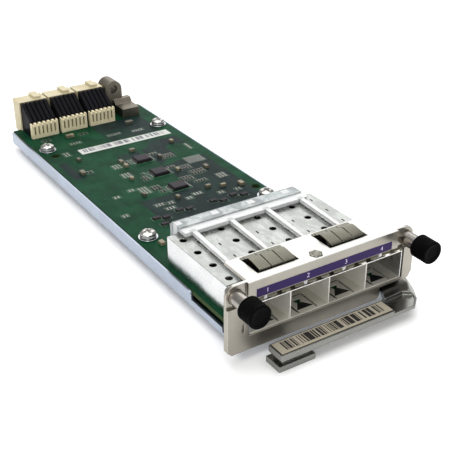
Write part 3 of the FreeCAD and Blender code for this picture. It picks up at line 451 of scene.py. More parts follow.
def board_finish():
    """Green varnish, darker over the floods, with lanes of tracks, a scatter of vias and a pale cut edge."""
    finish = Finish("solder mask")
    graph = finish.graph

    def area(left, right, near, far, ease=0.3):
        """1 inside a rectangle of the board, fading over its edges."""
        return (finish.x.band(left - ease, left + ease, right - ease, right + ease)
                * finish.y.band(near - ease, near + ease, far - ease, far + ease))

    patch = graph.node("ShaderNodeTexVoronoi", {"distance": "CHEBYCHEV"},
                       {"Vector": finish.mm, "Scale": 0.06}, "Color")
    spread = graph.node("ShaderNodeSeparateColor", None, {0: patch}, 0)
    flood = largest(*[area(*rectangle) for rectangle in FLOODS]) * spread.ramp(0.10, 0.14)
    turned = graph.node("ShaderNodeMapping", None, {"Vector": finish.mm, "Rotation": (0.0, 0.0, math.pi / 2)})
    along = copper_lanes(finish, turned, 17.0, 0.5)
    across = copper_lanes(finish, finish.mm, 11.0, 0.7)
    region = finish.noise(0.06, 2.0)
    bundle = finish.noise(0.12, 1.0, 0.5, (1.0, 0.25, 1.0)).ramp(0.46, 0.5)
    tracks = (along * region.ramp(0.44, 0.52) + across * (1.0 - region.ramp(0.40, 0.47))) * bundle
    dots = graph.node("ShaderNodeTexVoronoi", {"feature": "F1"},
                      {"Vector": finish.mm, "Scale": 0.42, "Randomness": 0.75}, "Distance")
    vias = (1.0 - dots.ramp(0.07, 0.11)) * finish.noise(0.11, 2.0).ramp(0.5, 0.56)
    cloud = finish.noise(0.10, 3.0)
    green = cloud.ramp(0.3, 0.7).between(paint(0.003, 0.034, 0.015), paint(0.007, 0.072, 0.031))
    green = flood.between(green, paint(0.015, 0.027, 0.027))
    green = (tracks * 0.5).between(green, paint(0.035, 0.105, 0.068))
    green = (vias * 0.7).between(green, paint(0.16, 0.20, 0.14))
    cut_edge = finish.z.within(-1.54, -0.06)
    green = (cut_edge * 0.7).between(green, paint(0.075, 0.095, 0.03))
    finish.set(Base_Color=green, Roughness=0.40 + finish.noise(0.5, 3.0) * 0.16, Specular_IOR_Level=0.08)
    finish.bump(tracks * 0.6 + vias, 0.5, 0.035)
    return finish


board_finish().dress("circuit_board")
print("board on, with", len(FLOODS), "copper floods")

# %% [markdown]
# ## Moulded plastics and small packages
# Moulded parts show a fine spark-eroded texture and slightly polished edges. The rear connectors are
# cream and their contact wafers black. One recipe serves them all, as one did for the metals. Black
# parts get little gloss, because in soft light a glossy black turns grey.

# %% Plastics
def plastic(name, colour, dark, rough, relief=0.02, edge=0.15, gloss=0.5):
    """Moulded skin: small speckle in colour and roughness, and lighter, smoother edges."""
    finish = Finish(name)
    speckle = finish.noise(5.0, 4.0, 0.65)
    cloud = finish.noise(0.18, 3.0)
    soft, worn = finish.edges(edge)
    base = (cloud.ramp(0.35, 0.65) * 0.6 + speckle * 0.4).between(paint(*dark), paint(*colour))
    finish.set(Base_Color=(worn * 0.5).between(base, shaded(colour, 1.25, 0.02)),
               Roughness=rough + (speckle - 0.5) * 0.2, Specular_IOR_Level=gloss)
    finish.bump(speckle, 0.4, relief, soft)
    return finish


knob_plastic = plastic("knob plastic", (0.004, 0.004, 0.004), (0.002, 0.002, 0.002), 0.5, 0.04, gloss=0.04)
knob_plastic.dress("thumb_knob")
plastic("socket plastic", (0.010, 0.010, 0.011), (0.005, 0.005, 0.006), 0.5, gloss=0.12).dress("port_socket")
plastic("contact wafer", (0.012, 0.011, 0.015), (0.005, 0.005, 0.006), 0.40, edge=0.12,
        gloss=0.05).dress("wafer_stack")
# painted shade: the rear housings take a darker copy of the comb's cream, against the strong light on their
# left sides
plastic("shaded cream moulding", (0.66, 0.60, 0.43), (0.52, 0.46, 0.30), 0.45, gloss=0.3).dress("rear_housing")
plastic("cream comb", (0.80, 0.73, 0.53), (0.66, 0.59, 0.40), 0.45, gloss=0.3).dress("front_comb")
epoxy = plastic("package epoxy", (0.040, 0.034, 0.040), (0.022, 0.019, 0.023), 0.42, gloss=0.15)
epoxy.dress("driver_chip", "resistor_arrays")
plastic("led body", (0.80, 0.80, 0.70), (0.70, 0.70, 0.60), 0.3).dress("port_leds")
print(len(bpy.data.materials), "finishes so far")

# %% [markdown]
# ## Ceramic chips
# The larger chips are bare ceramic with tinned ends, and no two batches are the same tan. A Voronoi
# pattern with cells wider than a chip gives each its own shade, and fine noise speckles it.

# %% Ceramic
def tipped_ceramic():
    """Ceramic chips: tan bodies of different shades, speckled with bright solder."""
    finish = Finish("chip ceramic")
    cell = finish.graph.node("ShaderNodeTexVoronoi", None, {"Vector": finish.mm, "Scale": 0.14}, "Color")
    shade = finish.graph.node("ShaderNodeSeparateColor", None, {0: cell}, 0)
    grain = finish.noise(3.0)
    body = shade.between(paint(0.085, 0.080, 0.055), paint(0.27, 0.23, 0.15))
    finish.set(Base_Color=(grain.ramp(0.5, 0.8) * 0.3).between(body, paint(0.5, 0.5, 0.46)),
               Roughness=0.3 + grain * 0.2)
    finish.bump(grain, 0.4, 0.03)
    return finish


tipped_ceramic().dress("chip_capacitors")
print("ceramic on")

# %% [markdown]
# ## The clear light guide
# One clear moulding carries the light of four chips on the board to the panel. Its slanted arms and front
# ledge are painted white, a painted reflection for the light inside them; its bar is greyer, with what lies
# below painted in as dark patches. A glint is painted at each port, and its edges are painted white as
# highlights. Pure glass would look black here, so it is part clear and part painted, and a Principled
# shader does both.

# %% Light guide
def clear_moulding():
    """Painted white arms and ledge, a greyer bar with painted dark patches, a joint and a painted glint at
    each port, painted white edges, and the flange's painted shade.
    """
    finish = Finish("clear light guide")
    cloud = finish.noise(0.35, 4.0)
    soft, worn = finish.edges(0.25)
    rear = corners_of("light_guide")[1][1]
    step_back, bar_front = rear - 6.4, rear - 9.9
    across = finish.port_offset()
    # painted see-through: dark patches on the bar stand for what lies below it
    painted_see_through = finish.noise(0.22, 2.0, 0.5, (1.0, 0.7, 1.0)).ramp(0.52, 0.6)
    bar = cloud.ramp(0.35, 0.65).between(paint(0.50, 0.55, 0.55), paint(0.78, 0.82, 0.82))
    bar = (painted_see_through * 0.6).between(bar, paint(0.30, 0.34, 0.34))
    # painted reflection: the arms and the front ledge are painted white
    base = (1.0 - finish.y.ramp(step_back - 0.3, step_back)).between(bar, WHITE)
    joint = (abs(across - 0.3) < 1.2) * finish.y.within(bar_front - 0.3, bar_front + 1.5)
    base = (joint * 0.5).between(base, paint(0.42, 0.44, 0.44))
    # painted glint: a white patch behind each port
    painted_glint = (abs(across + 2.0) < 1.3) * finish.y.within(rear - 4.6, rear - 2.2)
    # painted highlight: the edges found by the Bevel node are painted white here, as highlights, not wear
    base = largest(worn * 0.8, painted_glint * 0.95).between(base, WHITE)
    finish.set(Base_Color=(finish.y.band(*SHADE_ON_GUIDE) * 0.93).between(base, SHADE),
               Roughness=0.06 + cloud * 0.16, Transmission_Weight=0.42, IOR=1.5)
    finish.bump(finish.noise(1.1, 3.0), 0.3, 0.03, soft)
    return finish


clear_moulding().dress("light_guide")
print("light guide on")

# %% [markdown]
# ## Printed film and paper labels
# The strip over the ports is dark film. The labels on the lever and board carry rows of plain bars.
# A bar's width comes from a random number for each narrow column, so the print says nothing.

# %% Labels
def bar_label(name, node, ground, inset, column, ink):
    """Bars along X inside an inset (left, right, near, far): a column is inked where its number is high."""
    low, high = corners_of(node)
    finish = Finish(name)
    graph = finish.graph
    lane = graph.maths("FLOOR", finish.x / column)
    chance = graph.node("ShaderNodeTexWhiteNoise", {"noise_dimensions": "1D"}, {"W": lane}, "Value")
    inside = (finish.x.within(low[0] + inset[0], high[0] - inset[1])
              * finish.y.within(low[1] + inset[2], high[1] - inset[3]))
    grime = finish.noise(0.8, 4.0)
    paper = grime.ramp(0.3, 0.8).between(paint(*ground), shaded(ground, 0.88))
    finish.set(Base_Color=((chance > 0.38) * inside * 0.96).between(paper, paint(*ink)),
               Roughness=0.42 + grime * 0.2, Specular_IOR_Level=0.2)
    finish.bump(finish.noise(4.0), 0.2, 0.01)
    finish.dress(node)


def film_finish():
    """Dark violet film, paler and duller where dust lies on it."""
    finish = Finish("port film")
    dust = finish.noise(1.3, 4.0)
    violet = dust.ramp(0.35, 0.75).between(paint(0.030, 0.014, 0.085), paint(0.044, 0.024, 0.12))
    finish.set(Base_Color=violet, Roughness=0.36 + dust * 0.18, Specular_IOR_Level=0.25)
    finish.bump(dust, 0.2, 0.01)
    return finish


bar_label("lever label", "lever_label", (0.42, 0.385, 0.305), (2.4, 2.4, 1.0, 0.5), 0.29,
          ink=(0.014, 0.014, 0.016))
bar_label("board label", "board_sticker", (0.62, 0.63, 0.60), (1.6, 2.4, 1.4, 0.6), 0.36,
          ink=(0.20, 0.20, 0.22))
film_finish().dress("port_label")
print(len(bpy.data.materials), "finishes so far")

# %% [markdown]
# ## Sprung clips on the flange
# Two strips of spring steel stand bowed out of the flange's windows, to touch the card above. Each is
# slit into three leaves, with a lip that rests on the flange. A flat strip lies under each window, below
# the flange, so that the window shows dark under the bow: a sheet that stands in for shade.
# A leaf is one side view, carried along a flat section. The view is drawn with few points, and corner
# cutting rounds it: every corner gives way to two points, a few times over.

# %% Sprung clips
CLIP_SHEET = 0.28
SLIT = 0.26
LEAVES = 3
RISE = 0.66
STRIP_SHEET = 0.15
STRIP_REACH = 0.9


def rounded(path, rounds):
    """Each run from a to b gives the points 3/4 a + 1/4 b and 1/4 a + 3/4 b; the two ends are kept."""
    path = np.asarray(path, float)
    for _ in range(rounds):
        cut = np.stack([path[:-1] * 0.75 + path[1:] * 0.25, path[:-1] * 0.25 + path[1:] * 0.75], axis=1)
        path = np.concatenate([path[:1], cut.reshape(-1, 2), path[-1:]])
    return path


def strip_along(path, left, right, sheet, ease=0.06):
    """A flat section with eased corners at each place of a (y, z) path, its depth down the path's normals."""
    run = np.gradient(path, axis=0)
    down = np.stack([run[:, 1], -run[:, 0]], axis=-1) / np.linalg.norm(run, axis=1)[:, None]
    across = np.array([left + ease, right - ease, right, right, right - ease, left + ease, left, left])
    depth = np.array([0, 0, ease, sheet - ease, sheet, sheet, sheet - ease, ease])
    place = path[:, None] + down[:, None] * depth[None, :, None]
    points = np.concatenate([across[None, :, None] * np.ones((len(path), 1, 1)), place], axis=-1)
    rows, corners = points.shape[:2]
    return points.reshape(-1, 3), grid_faces(rows, corners) + end_caps(rows, corners)


def clip_view(front, rear, top):
    """Side view of a leaf: up from its hook, over the bow, and down to the lip behind it."""
    return rounded([(front + 0.1, top - 1.95), (front + 0.45, top - 1.0), (front + 0.35, top - 0.2),
                    (front + 1.1, top + 0.05), (front + 4.9, top + RISE), (rear - 1.7, top + RISE),
                    (rear - 0.7, top - 0.3), (rear - 0.1, top - 0.41), (rear + 1.0, top - 0.41)], 3)


for side in ("left", "right"):
    low, high = corners_of("ground_clip_" + side)
    front, rear, top = low[1] + 1.0, high[1] - 1.1, high[2]
    lip = np.array([(rear - 0.25, top - 0.53), (rear + 0.4, top - 0.53), (rear + 1.05, top - 0.53)])
    # a flat strip below the flange that closes the window from beneath, so that it shows dark under the bow:
    # it stands in for shade
    base = lip - [rear - front + 0.4, 1.42] + np.array([(0, 0), (4.2, 0), (9.0, 0)])
    pitch = (high[0] - low[0] + SLIT) / LEAVES
    leaves = [strip_along(clip_view(front, rear, top), low[0] + number * pitch,
                          low[0] + (number + 1) * pitch - SLIT, CLIP_SHEET) for number in range(LEAVES)]
    strips = [strip_along(flat, low[0] - STRIP_REACH, high[0] + STRIP_REACH, STRIP_SHEET)
              for flat in (lip, base)]
    points, faces = joined(leaves + strips)
    clip = make_piece("bowed_clip_" + side, points, faces, "card", "clip_metal", smooth=False)
    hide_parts("ground_clip_" + side)
    spring_strip.on(clip)
    print(clip.name, len(faces), "faces")

# %% [markdown]
# ## Shapes turned round an axis
# Knobs, screw heads and studs are turned or moulded round an axis. Blender's Spin could carry a profile
# round, but its poles need care. Here the profile is carried by sine and cosine, a ripple may move the
# radius on the way, and a fan of triangles closes the shape to a point at each end.

# %% Turned shapes
def turned_points(profile, sides, ripple=None):
    """A profile of (radius, height) pairs carried round +Z: x = r cos a, y = r sin a, z = height."""
    radius, height = np.asarray(profile, float).T
    angle = np.arange(sides) * 2 * np.pi / sides
    spread = radius[:, None] * np.ones(sides)
    if ripple is not None:
        spread = spread + ripple(radius[:, None], height[:, None], angle[None, :])
    return np.stack([spread * np.cos(angle), spread * np.sin(angle),
                     height[:, None] * np.ones(sides)], axis=-1)


def with_tips(rings, first_tip, last_tip):
    """A grid of rings whose first and last ring each close to a point in a fan: (points, faces)."""
    rows, sides = rings.shape[:2]
    here = np.arange(sides)
    ahead = (here + 1) % sides
    last_row = (rows - 1) * sides
    first_fan = np.stack([ahead, here, np.full(sides, rows * sides)], axis=-1)
    last_fan = np.stack([last_row + here, last_row + ahead, np.full(sides, rows * sides + 1)], axis=-1)
    points = np.concatenate([rings.reshape(-1, 3), [first_tip, last_tip]])
    return points, grid_faces(rows, sides) + first_fan.tolist() + last_fan.tolist()


def closed_turned(profile, sides, ripple=None):
    """The carried profile with both ends drawn to a point on the axis: (points, faces)."""
    rings = turned_points(profile[1:-1], sides, ripple)
    return with_tips(rings, (0, 0, profile[0][1]), (0, 0, profile[-1][1]))


def smooth_step(low, high, value):
    """0 below low, 1 above high, and the cubic 3t^2 - 2t^3 between."""
    share = np.clip((value - low) / (high - low), 0, 1)
    return share * share * (3 - 2 * share)


print("a cone of 12 sides has", len(closed_turned([(0, 0), (1, 0), (0, 1)], 12)[1]), "faces")

# %% [markdown]
# ## Thumbscrew knobs
# Each captive screw ends in a black moulded grip. Its grip is a fine diamond knurl: two sets of
# shallow grooves that wind round the knob in opposite directions. The radius drops by a small
# amount wherever either set passes, which a formula on the angle and the depth gives directly.

# %% Knurled knobs
KNURL_GROOVES = 30
KNURL_DEPTH = 0.22
KNURL_WIND = 3.4
KNOB_BORE = 2.85
KNOB_CAVITY = 5.1


def knob_profile(outer, length):
    """(radius, height) pairs from the cavity's floor, over the rim and grip, to the dished nose."""
    grip = np.linspace(0.35, length - 0.55, 44)
    bend = np.linspace(0, np.pi / 2, 6)[1:]
    cavity = [(0, KNOB_CAVITY), (KNOB_BORE, KNOB_CAVITY), (KNOB_BORE, 0.12), (KNOB_BORE + 0.15, 0)]
    rim = [(outer - 0.3, 0), (outer, 0.3)]
    nose = [(outer - 0.5 + 0.5 * math.cos(turn), length - 0.5 + 0.5 * math.sin(turn)) for turn in bend]
    dish = [(outer - 0.9, length), (outer - 1.15, length - 0.18), (outer * 0.35, length - 0.22),
            (0, length - 0.22)]
    return cavity + rim + [(outer, height) for height in grip] + nose + dish


def knurl(radius, height, angle):
    """Both sets of grooves: depth times how near sin(n a + k h) and sin(n a - k h) are to zero."""
    on_side = smooth_step(3.55, 3.7, radius)
    on_grip = on_side * smooth_step(0.5, 0.9, height) * smooth_step(-5.4, -5.0, -height)
    one = np.abs(np.sin(KNURL_GROOVES / 2 * angle + KNURL_WIND * height))
    two = np.abs(np.sin(KNURL_GROOVES / 2 * angle - KNURL_WIND * height))
    return -KNURL_DEPTH * on_grip * (1 - np.minimum(one, two)) ** 1.5


for side in ("left", "right"):
    low, high = corners_of("thumb_knob_" + side)
    centre = (low + high) / 2
    points, faces = closed_turned(knob_profile((high[0] - low[0]) / 2, high[1] - low[1]), 240, knurl)
    placed = np.stack([centre[0] + points[:, 0], high[1] - points[:, 2], centre[2] + points[:, 1]], axis=-1)
    knob = make_piece("knurled_knob_" + side, placed, faces, side + "_thumbscrew", "knob_black")
    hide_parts("thumb_knob_" + side)
    knob_plastic.on(knob)
    print(knob.name, len(faces), "faces")

# %% [markdown]
# ## Washers
# The board is held by four pan-head screws, each on a split lock washer and a flat one. A washer is
# a closed outline carried round an axis: right round for the flat one, and not quite round for the
# split one, whose wire also climbs a little. Eased corners catch a thin line of light, as real
# stamped edges do, and a plain disc wouldn't.

# %% Washers
SCREW_HOLE = 1.45
FLAT_WASHER = (3.5, 0.0, 0.5, 0.09)
SPLIT_WASHER = (2.9, 0.53, 0.96, 0.07)
SPLIT_GAP = math.radians(7)
SPLIT_CLIMB = 0.02


def swept_ring(loop, angles, climb=0.0, closed=False):
    """A (radius, height) loop carried round +Z, climbing with the angle; an open sweep is capped."""
    radius, height = np.asarray(loop, float).T
    turn = angles[:, None]
    points = np.stack([radius * np.cos(turn), radius * np.sin(turn), height + climb * turn], axis=-1)
    rows, corners = points.shape[:2]
    faces = grid_faces(rows, corners, closed)
    return points.reshape(-1, 3), faces if closed else faces + end_caps(rows, corners)


def eased_loop(outer, low, high, ease):
    """A rectangle with its corners cut by ease, down the outer side and up the inner one."""
    inner = SCREW_HOLE
    return [(outer - ease, high), (outer, high - ease), (outer, low + ease), (outer - ease, low),
            (inner + ease, low), (inner, low + ease), (inner, high - ease), (inner + ease, high)]


def screw_spots():
    """Middle of each screw on the board, from the frame's own screws gathered by quarter."""
    places = points_of(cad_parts["board_screws"].data)
    middle = (places.min(0) + places.max(0)) / 2
    spots = []
    for side in (-1, 1):
        for back in (-1, 1):
            mine = places[(places[:, 0] * side > 0) & ((places[:, 1] - middle[1]) * back > 0)]
            spots.append((mine.min(0) + mine.max(0)) / 2)
    return np.array(spots) * [1, 1, 0]


spots = screw_spots()
full_turn = np.linspace(0, 2 * np.pi, 96, endpoint=False)
flat = scattered(swept_ring(eased_loop(*FLAT_WASHER), full_turn, closed=True), spots)
flat_washers = make_piece("eased_flat_washers", *flat, "card", "washer_steel", smooth=False)
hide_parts("flat_washers")
zinc.on(flat_washers)
part_turn = np.linspace(SPLIT_GAP, 2 * np.pi - SPLIT_GAP, 90)
split = scattered(swept_ring(eased_loop(*SPLIT_WASHER), part_turn, SPLIT_CLIMB), spots)
split_washers = make_piece("split_washers", *split, "card", "washer_steel", smooth=False)
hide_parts("lock_washers")
zinc.on(split_washers)
print(len(spots), "screws at", np.round(spots[:, :2], 1).tolist())

# %% [markdown]
# ## Screw heads
# A pan head is a low dome with a cross recess. The dome is a height worked out from the radius, and
# the recess is a second formula that lowers it inside two crossed bars. That gives a recess with
# sloping walls and no boolean cut, whose edges would need cleaning.

# %% Screw heads
HEAD_RADIUS = 2.75
HEAD_HEIGHT = 1.7
RECESS_DEPTH = 0.95


def crossed_bar(along, across):
    """1 inside a bar 0.56 wide and 2.7 long, fading to 0 just outside it."""
    return smooth_step(-0.5, -0.28, -np.abs(across)) * smooth_step(-1.75, -1.35, -np.abs(along))


def head_rings(sides=96, rings=30):
    """z = h (1 - 0.42 (r / R)^3.2), less the recess inside the crossed bars; rings close in on the axis."""
    share = np.linspace(1, 0.02, rings)[:, None]
    angle = (np.arange(sides) * 2 * np.pi / sides)[None, :]
    x = HEAD_RADIUS * share * np.cos(angle)
    y = HEAD_RADIUS * share * np.sin(angle)
    dome = HEAD_HEIGHT * (1 - 0.42 * share ** 3.2)
    bars = np.maximum(crossed_bar(y, x), crossed_bar(x, y))
    return np.stack([x, y, dome - RECESS_DEPTH * bars], axis=-1)


top = head_rings()
rings = np.concatenate([top[:1] * [1, 1, 0], top])
head = with_tips(rings, (0, 0, 0), (0, 0, top[-1, :, 2].mean()))
head_top = corners_of("board_screws")[1][2]
points, faces = scattered(head, spots + [0, 0, head_top - HEAD_HEIGHT])
screw_heads = make_piece("board_screw_heads", points, faces, "card", "screw_steel")
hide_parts("board_screws")
nickel.on(screw_heads)
print(len(spots), "screw heads at height", round(float(head_top), 2))

# %% [markdown]
# ## Leads of the chips
# The three driver chips stand on gull-wing leads. Each lead is a short ribbon whose side view is
# carried across its width. The view goes round the same way on both sides of a chip, because the
# order of its points decides which way the faces point.

# %% Gull-wing leads
LEADS_A_SIDE = 4
LEAD_HALF_WIDTH = 0.21


def lead_view(side):
    """(x, z) of a lead: out from the package, down in an S and out along the pad, then back below."""
    reach = np.array([0.0, 0.35, 0.55, 0.7, 0.95, 1.35])
    height = np.array([0.62, 0.62, 0.5, 0.16, 0.06, 0.06])
    upper = np.stack([side * reach, height + 0.07], axis=-1)
    lower = np.stack([side * reach, height - 0.05], axis=-1)[::-1]
    return np.concatenate([upper, lower])[::side]


def lead(view, edge, across):
    """The view at both edges of the ribbon, walled and capped: (points, faces)."""
    ends = [np.stack([edge + view[:, 0], np.full(len(view), across + shift), view[:, 1]], axis=-1)
            for shift in (-LEAD_HALF_WIDTH, LEAD_HALF_WIDTH)]
    return np.concatenate(ends), grid_faces(2, len(view)) + end_caps(2, len(view))


lead_shapes = []
for number in CHIPS:
    low, high = corners_of(f"driver_chip_{number}")
    for side, edge in ((-1, low[0]), (1, high[0])):
        for across in np.linspace(low[1] + 0.7, high[1] - 0.7, LEADS_A_SIDE):
            lead_shapes.append(lead(lead_view(side), edge, across))
leads = make_piece("chip_leads", *joined(lead_shapes), "card", "screw_steel", smooth=False)
nickel.on(leads)
print(len(lead_shapes), "leads")

# %% [markdown]
# ## Small parts on the board
# Round the three chips stand rows of tiny two-ended parts, and rows of bare pads where a part was
# left off. Each is a few boxes, so one call builds them all: two arrays of corners, low and high, are
# spread over the eight corners of a box. Positions come from short lists of blocks of columns and rows.

# %% Many boxes at once
def many_boxes(name, low, high, slot):
    """One mesh of boxes: corner k of a box takes low or high on each axis by the bits of k."""
    bits = np.array([[k & 1, k >> 1 & 1, k >> 2] for k in range(8)])
    points = low[:, None] + (high - low)[:, None] * bits
    sides = np.array([[0, 2, 3, 1], [4, 5, 7, 6], [0, 1, 5, 4], [2, 6, 7, 3], [0, 4, 6, 2], [1, 3, 7, 5]])
    faces = sides[None] + 8 * np.arange(len(low))[:, None, None]
    return make_piece(name, points.reshape(-1, 3), faces.reshape(-1, 4).tolist(), "card", slot, smooth=False)


def gathered(boxes):
    """Several (low, high) pairs of corner arrays as one pair."""
    return [np.concatenate(ends) for ends in zip(*boxes)]


def around(centres, reach, bottom, top):
    """Low and high corners of boxes that reach (x, y) either side of each centre."""
    centres, reach = np.asarray(centres, float), np.asarray(reach, float)
    ends = np.ones((len(centres), 1))
    return np.hstack([centres - reach, ends * bottom]), np.hstack([centres + reach, ends * top])


low, high = around([(0, 0)], (1, 2), 0, 3)
print("a box that reaches 1 by 2 and stands 3 high measures", (high - low)[0].tolist(), "mm")

# %% Parts and pads
STEP = (1.25, 1.95)
FITTED = [(-4.2, 124.4, 2, 2), (8.6, 126.6, 3, 1), (13.0, 121.8, 4, 2), (-4.6, 107.4, 2, 2),
          (-3.6, 111.6, 1, 1), (8.6, 111.4, 3, 1), (13.2, 108.4, 4, 2), (15.6, 102.4, 5, 2),
          (-5.4, 98.0, 3, 2), (-4.4, 94.0, 2, 1), (8.8, 99.0, 4, 2), (12.4, 94.6, 4, 1),
          (-20.5, 124.6, 2, 1), (-22.6, 163.4, 3, 1), (-6.4, 161.6, 3, 1)]
BARE = [(-9.2, 123.4, 3, 2), (20.7, 113.4, 6, 3), (-9.6, 114.2, 3, 2), (-10.0, 98.6, 3, 3),
        (-10.9, 85.2, 3, 1), (-6.6, 84.6, 2, 1), (1.2, 84.2, 2, 1), (5.6, 85.8, 3, 1),
        (-14.2, 101.4, 2, 1), (-25.4, 84.2, 2, 1), (13.6, 81.8, 2, 1), (20.6, 80.9, 2, 1),
        (-8.8, 80.8, 3, 1), (21.8, 94.6, 3, 2), (-21.4, 99.0, 2, 1), (-13.2, 154.2, 4, 1),
        (4.6, 154.0, 5, 1), (15.4, 152.8, 4, 1), (-21.2, 145.2, 2, 2), (25.2, 126.0, 1, 3)]
ARRAYS = np.array([(-17.0, 76.4), (-13.6, 75.2), (-7.0, 77.4), (-3.3, 76.4), (7.1, 77.0), (10.6, 75.4),
                   (16.0, 77.3), (19.6, 75.4), (-16.5, 71.0)])


def block_of(across, deep, columns, rows):
    """Centres of a block of columns and rows round one middle."""
    column, row = np.meshgrid(np.arange(columns) - (columns - 1) / 2, np.arange(rows) - (rows - 1) / 2)
    return np.stack([across + column.ravel() * STEP[0], deep + row.ravel() * STEP[1]], axis=-1)


fitted = np.concatenate([block_of(*block) for block in FITTED])
bare = np.concatenate([block_of(*block) for block in BARE])
small_chips = many_boxes("small_chips", *around(fitted, (0.30, 0.34), 0.03, 0.40), "capacitor_tan")
epoxy.on(small_chips)
ends = np.concatenate([fitted + [0, side * 0.46] for side in (-1, 1)])
solder_spots = [around(ends, (0.31, 0.13), 0.03, 0.43), around(ends, (0.36, 0.30), 0.0, 0.05)]
for side in (-1, 1):
    solder_spots.append(around(bare + [0, side * 0.46], (0.34, 0.27), 0.0, 0.05))
    for shift in (-1.05, -0.35, 0.35, 1.05):
        solder_spots.append(around(ARRAYS + [shift, side * 0.9], (0.17, 0.18), 0.0, 0.5))
solder = many_boxes("solder_ends", *gathered(solder_spots), "screw_steel")
metal("solder", (0.50, 0.50, 0.46), (0.26, 0.26, 0.23), 0.3, edge=0.04).on(solder)
print(len(fitted), "parts fitted and", len(bare), "pairs of pads left bare")

# %% [markdown]
# ## Printed outlines on the board
# Thin white lines are printed round each block of parts, to show where they go. The ink has a real
# thickness, so it is four very thin boxes round each block, which stay sharp at any distance.
# They are round what was placed above, so no place is given twice.

# %% Printed outlines
LINE_WIDTH = 0.13
LINE_HEIGHT = 0.02


def outline_strips(centres, reach):
    """Four thin strips round each centre, as low and high corners."""
    centres = np.asarray(centres, float)
    half = LINE_WIDTH / 2
    strips = []
    for side in (-1, 1):
        strips.append(around(centres + [0, side * reach[1]], (reach[0] + half, half), 0.0, LINE_HEIGHT))
        strips.append(around(centres + [side * reach[0], 0], (half, reach[1]), 0.0, LINE_HEIGHT))
    return gathered(strips)


strips = [outline_strips([(across, deep)], (columns * STEP[0] / 2 + 0.25, rows * STEP[1] / 2 + 0.2))
          for across, deep, columns, rows in FITTED + BARE]
strips.append(outline_strips(ARRAYS, (1.75, 1.35)))
strips.append(outline_strips([middle_of(f"driver_chip_{number}")[:2] for number in CHIPS], (4.8, 3.2)))
print_lines = many_boxes("board_print", *gathered(strips), "sticker_paper")
board_ink = Finish("board print")
faded = board_ink.noise(0.9, 3.0)
board_ink.set(Base_Color=faded.ramp(0.35, 0.7).between(paint(0.10, 0.17, 0.12), paint(0.30, 0.37, 0.29)),
              Roughness=0.55 + faded * 0.1)
board_ink.on(print_lines)
print(sum(len(low) for low, high in strips), "printed lines")

# %% [markdown]
# ## Contact ends
# In each slot at the back of a connector stand the gilded ends of its contacts, and in each port's
# socket two rows more. They are narrow boxes again, placed from the wafers and sockets they sit in.

# %% Contact ends
SLOTS = 6
CONTACTS_A_SLOT = 8
CONTACTS_A_ROW = 10


def contact_row(across, level, reach, front, rear):
    """Low and high corners of contacts that reach (x, z) round each place and run from front to rear."""
    across, level = np.broadcast_arrays(across, level)
    low = np.stack([across - reach[0], np.full(len(across), front), level - reach[1]], axis=-1)
    high = np.stack([across + reach[0], np.full(len(across), rear), level + reach[1]], axis=-1)
    return low, high


contact_boxes = []
for number in MODULES:
    low, high = corners_of(f"wafer_stack_{number}")
    rear = corners_of(f"rear_housing_{number}")[1][1]
    lanes = np.linspace(low[0] + 0.75, high[0] - 0.75, SLOTS)
    levels = np.linspace(2.5, 11.4, CONTACTS_A_SLOT)
    across, level = (grid.ravel() for grid in np.meshgrid(lanes, levels))
    contact_boxes.append(contact_row(across, level, (0.2, 0.3), rear - 2.0, rear - 0.6))
for number in PORTS:
    low, high = corners_of(f"port_socket_{number}")
    lanes = np.linspace(low[0] + 1.6, high[0] - 1.6, CONTACTS_A_ROW)
    for level in (2.35, 4.0):
        contact_boxes.append(contact_row(lanes, level, (0.18, 0.12), low[1] - 0.35, low[1] + 0.2))
contacts = many_boxes("contact_ends", *gathered(contact_boxes), "wafer_black")
metal("gilt contacts", (0.80, 0.55, 0.22), (0.55, 0.36, 0.13), 0.25, edge=0.04).on(contacts)
print(sum(len(low) for low, high in contact_boxes), "contact ends")

# %% [markdown]
# ## A clinched stud
# The flange carries one clinched stud: a shallow turned disc whose rim is pressed into six lobes when
# it is driven into the sheet. It is turned like the knobs, with a cosine of the angle on its radius.

# %% Clinched stud
STUD_PLACE = (-3.8, 2.75, 17.6)
STUD_PROFILE = [(0, -0.05), (1.9, -0.05), (2.0, 0.06), (1.75, 0.24), (1.35, 0.26), (1.1, 0.12), (0.5, 0.08),
                (0, 0.08)]


def lobes(radius, height, angle):
    """Six lobes, 0.16 high, on the rings outside a radius of 1.2; the height plays no part."""
    return 0.16 * (radius > 1.2) * np.cos(6 * angle)


points, faces = closed_turned(STUD_PROFILE, 72, lobes)
stud = make_piece("clinched_stud", points + STUD_PLACE, faces, "card", "panel_metal")
metal("stud plating", (0.30, 0.29, 0.25), (0.17, 0.165, 0.14), 0.3, edge=0.06).on(stud)
print(stud.name, len(faces), "faces")

# %% [markdown]
# ## Port numerals
# The film carries a numeral over each port, which counts the ports and says nothing else. Blender's
# own text makes the outline. It is turned into a mesh first and then placed point by point, so that
# the finished piece stays at the origin like every other.

# %% Port numerals
NUMERAL_HEIGHT = 2.1
NUMERAL_LINES = (-22.7, -8.4, 5.7, 19.6)


def numeral(text, spot):
    """A flat numeral that stands at a spot and is read from the front: (points, faces)."""
    curve = bpy.data.curves.new("numeral", "FONT")
    curve.body = text
    curve.size = NUMERAL_HEIGHT * MM
    curve.align_x = "CENTER"
    curve.align_y = "CENTER"
    made = bpy.data.objects.new("numeral", curve)
    mesh = bpy.data.meshes.new_from_object(made)
    flat = points_of(mesh)
    faces = [list(face.vertices) for face in mesh.polygons]
    bpy.data.objects.remove(made)
    return np.stack([spot[0] + flat[:, 0], np.full(len(flat), spot[1]), spot[2] + flat[:, 1]], axis=-1), faces


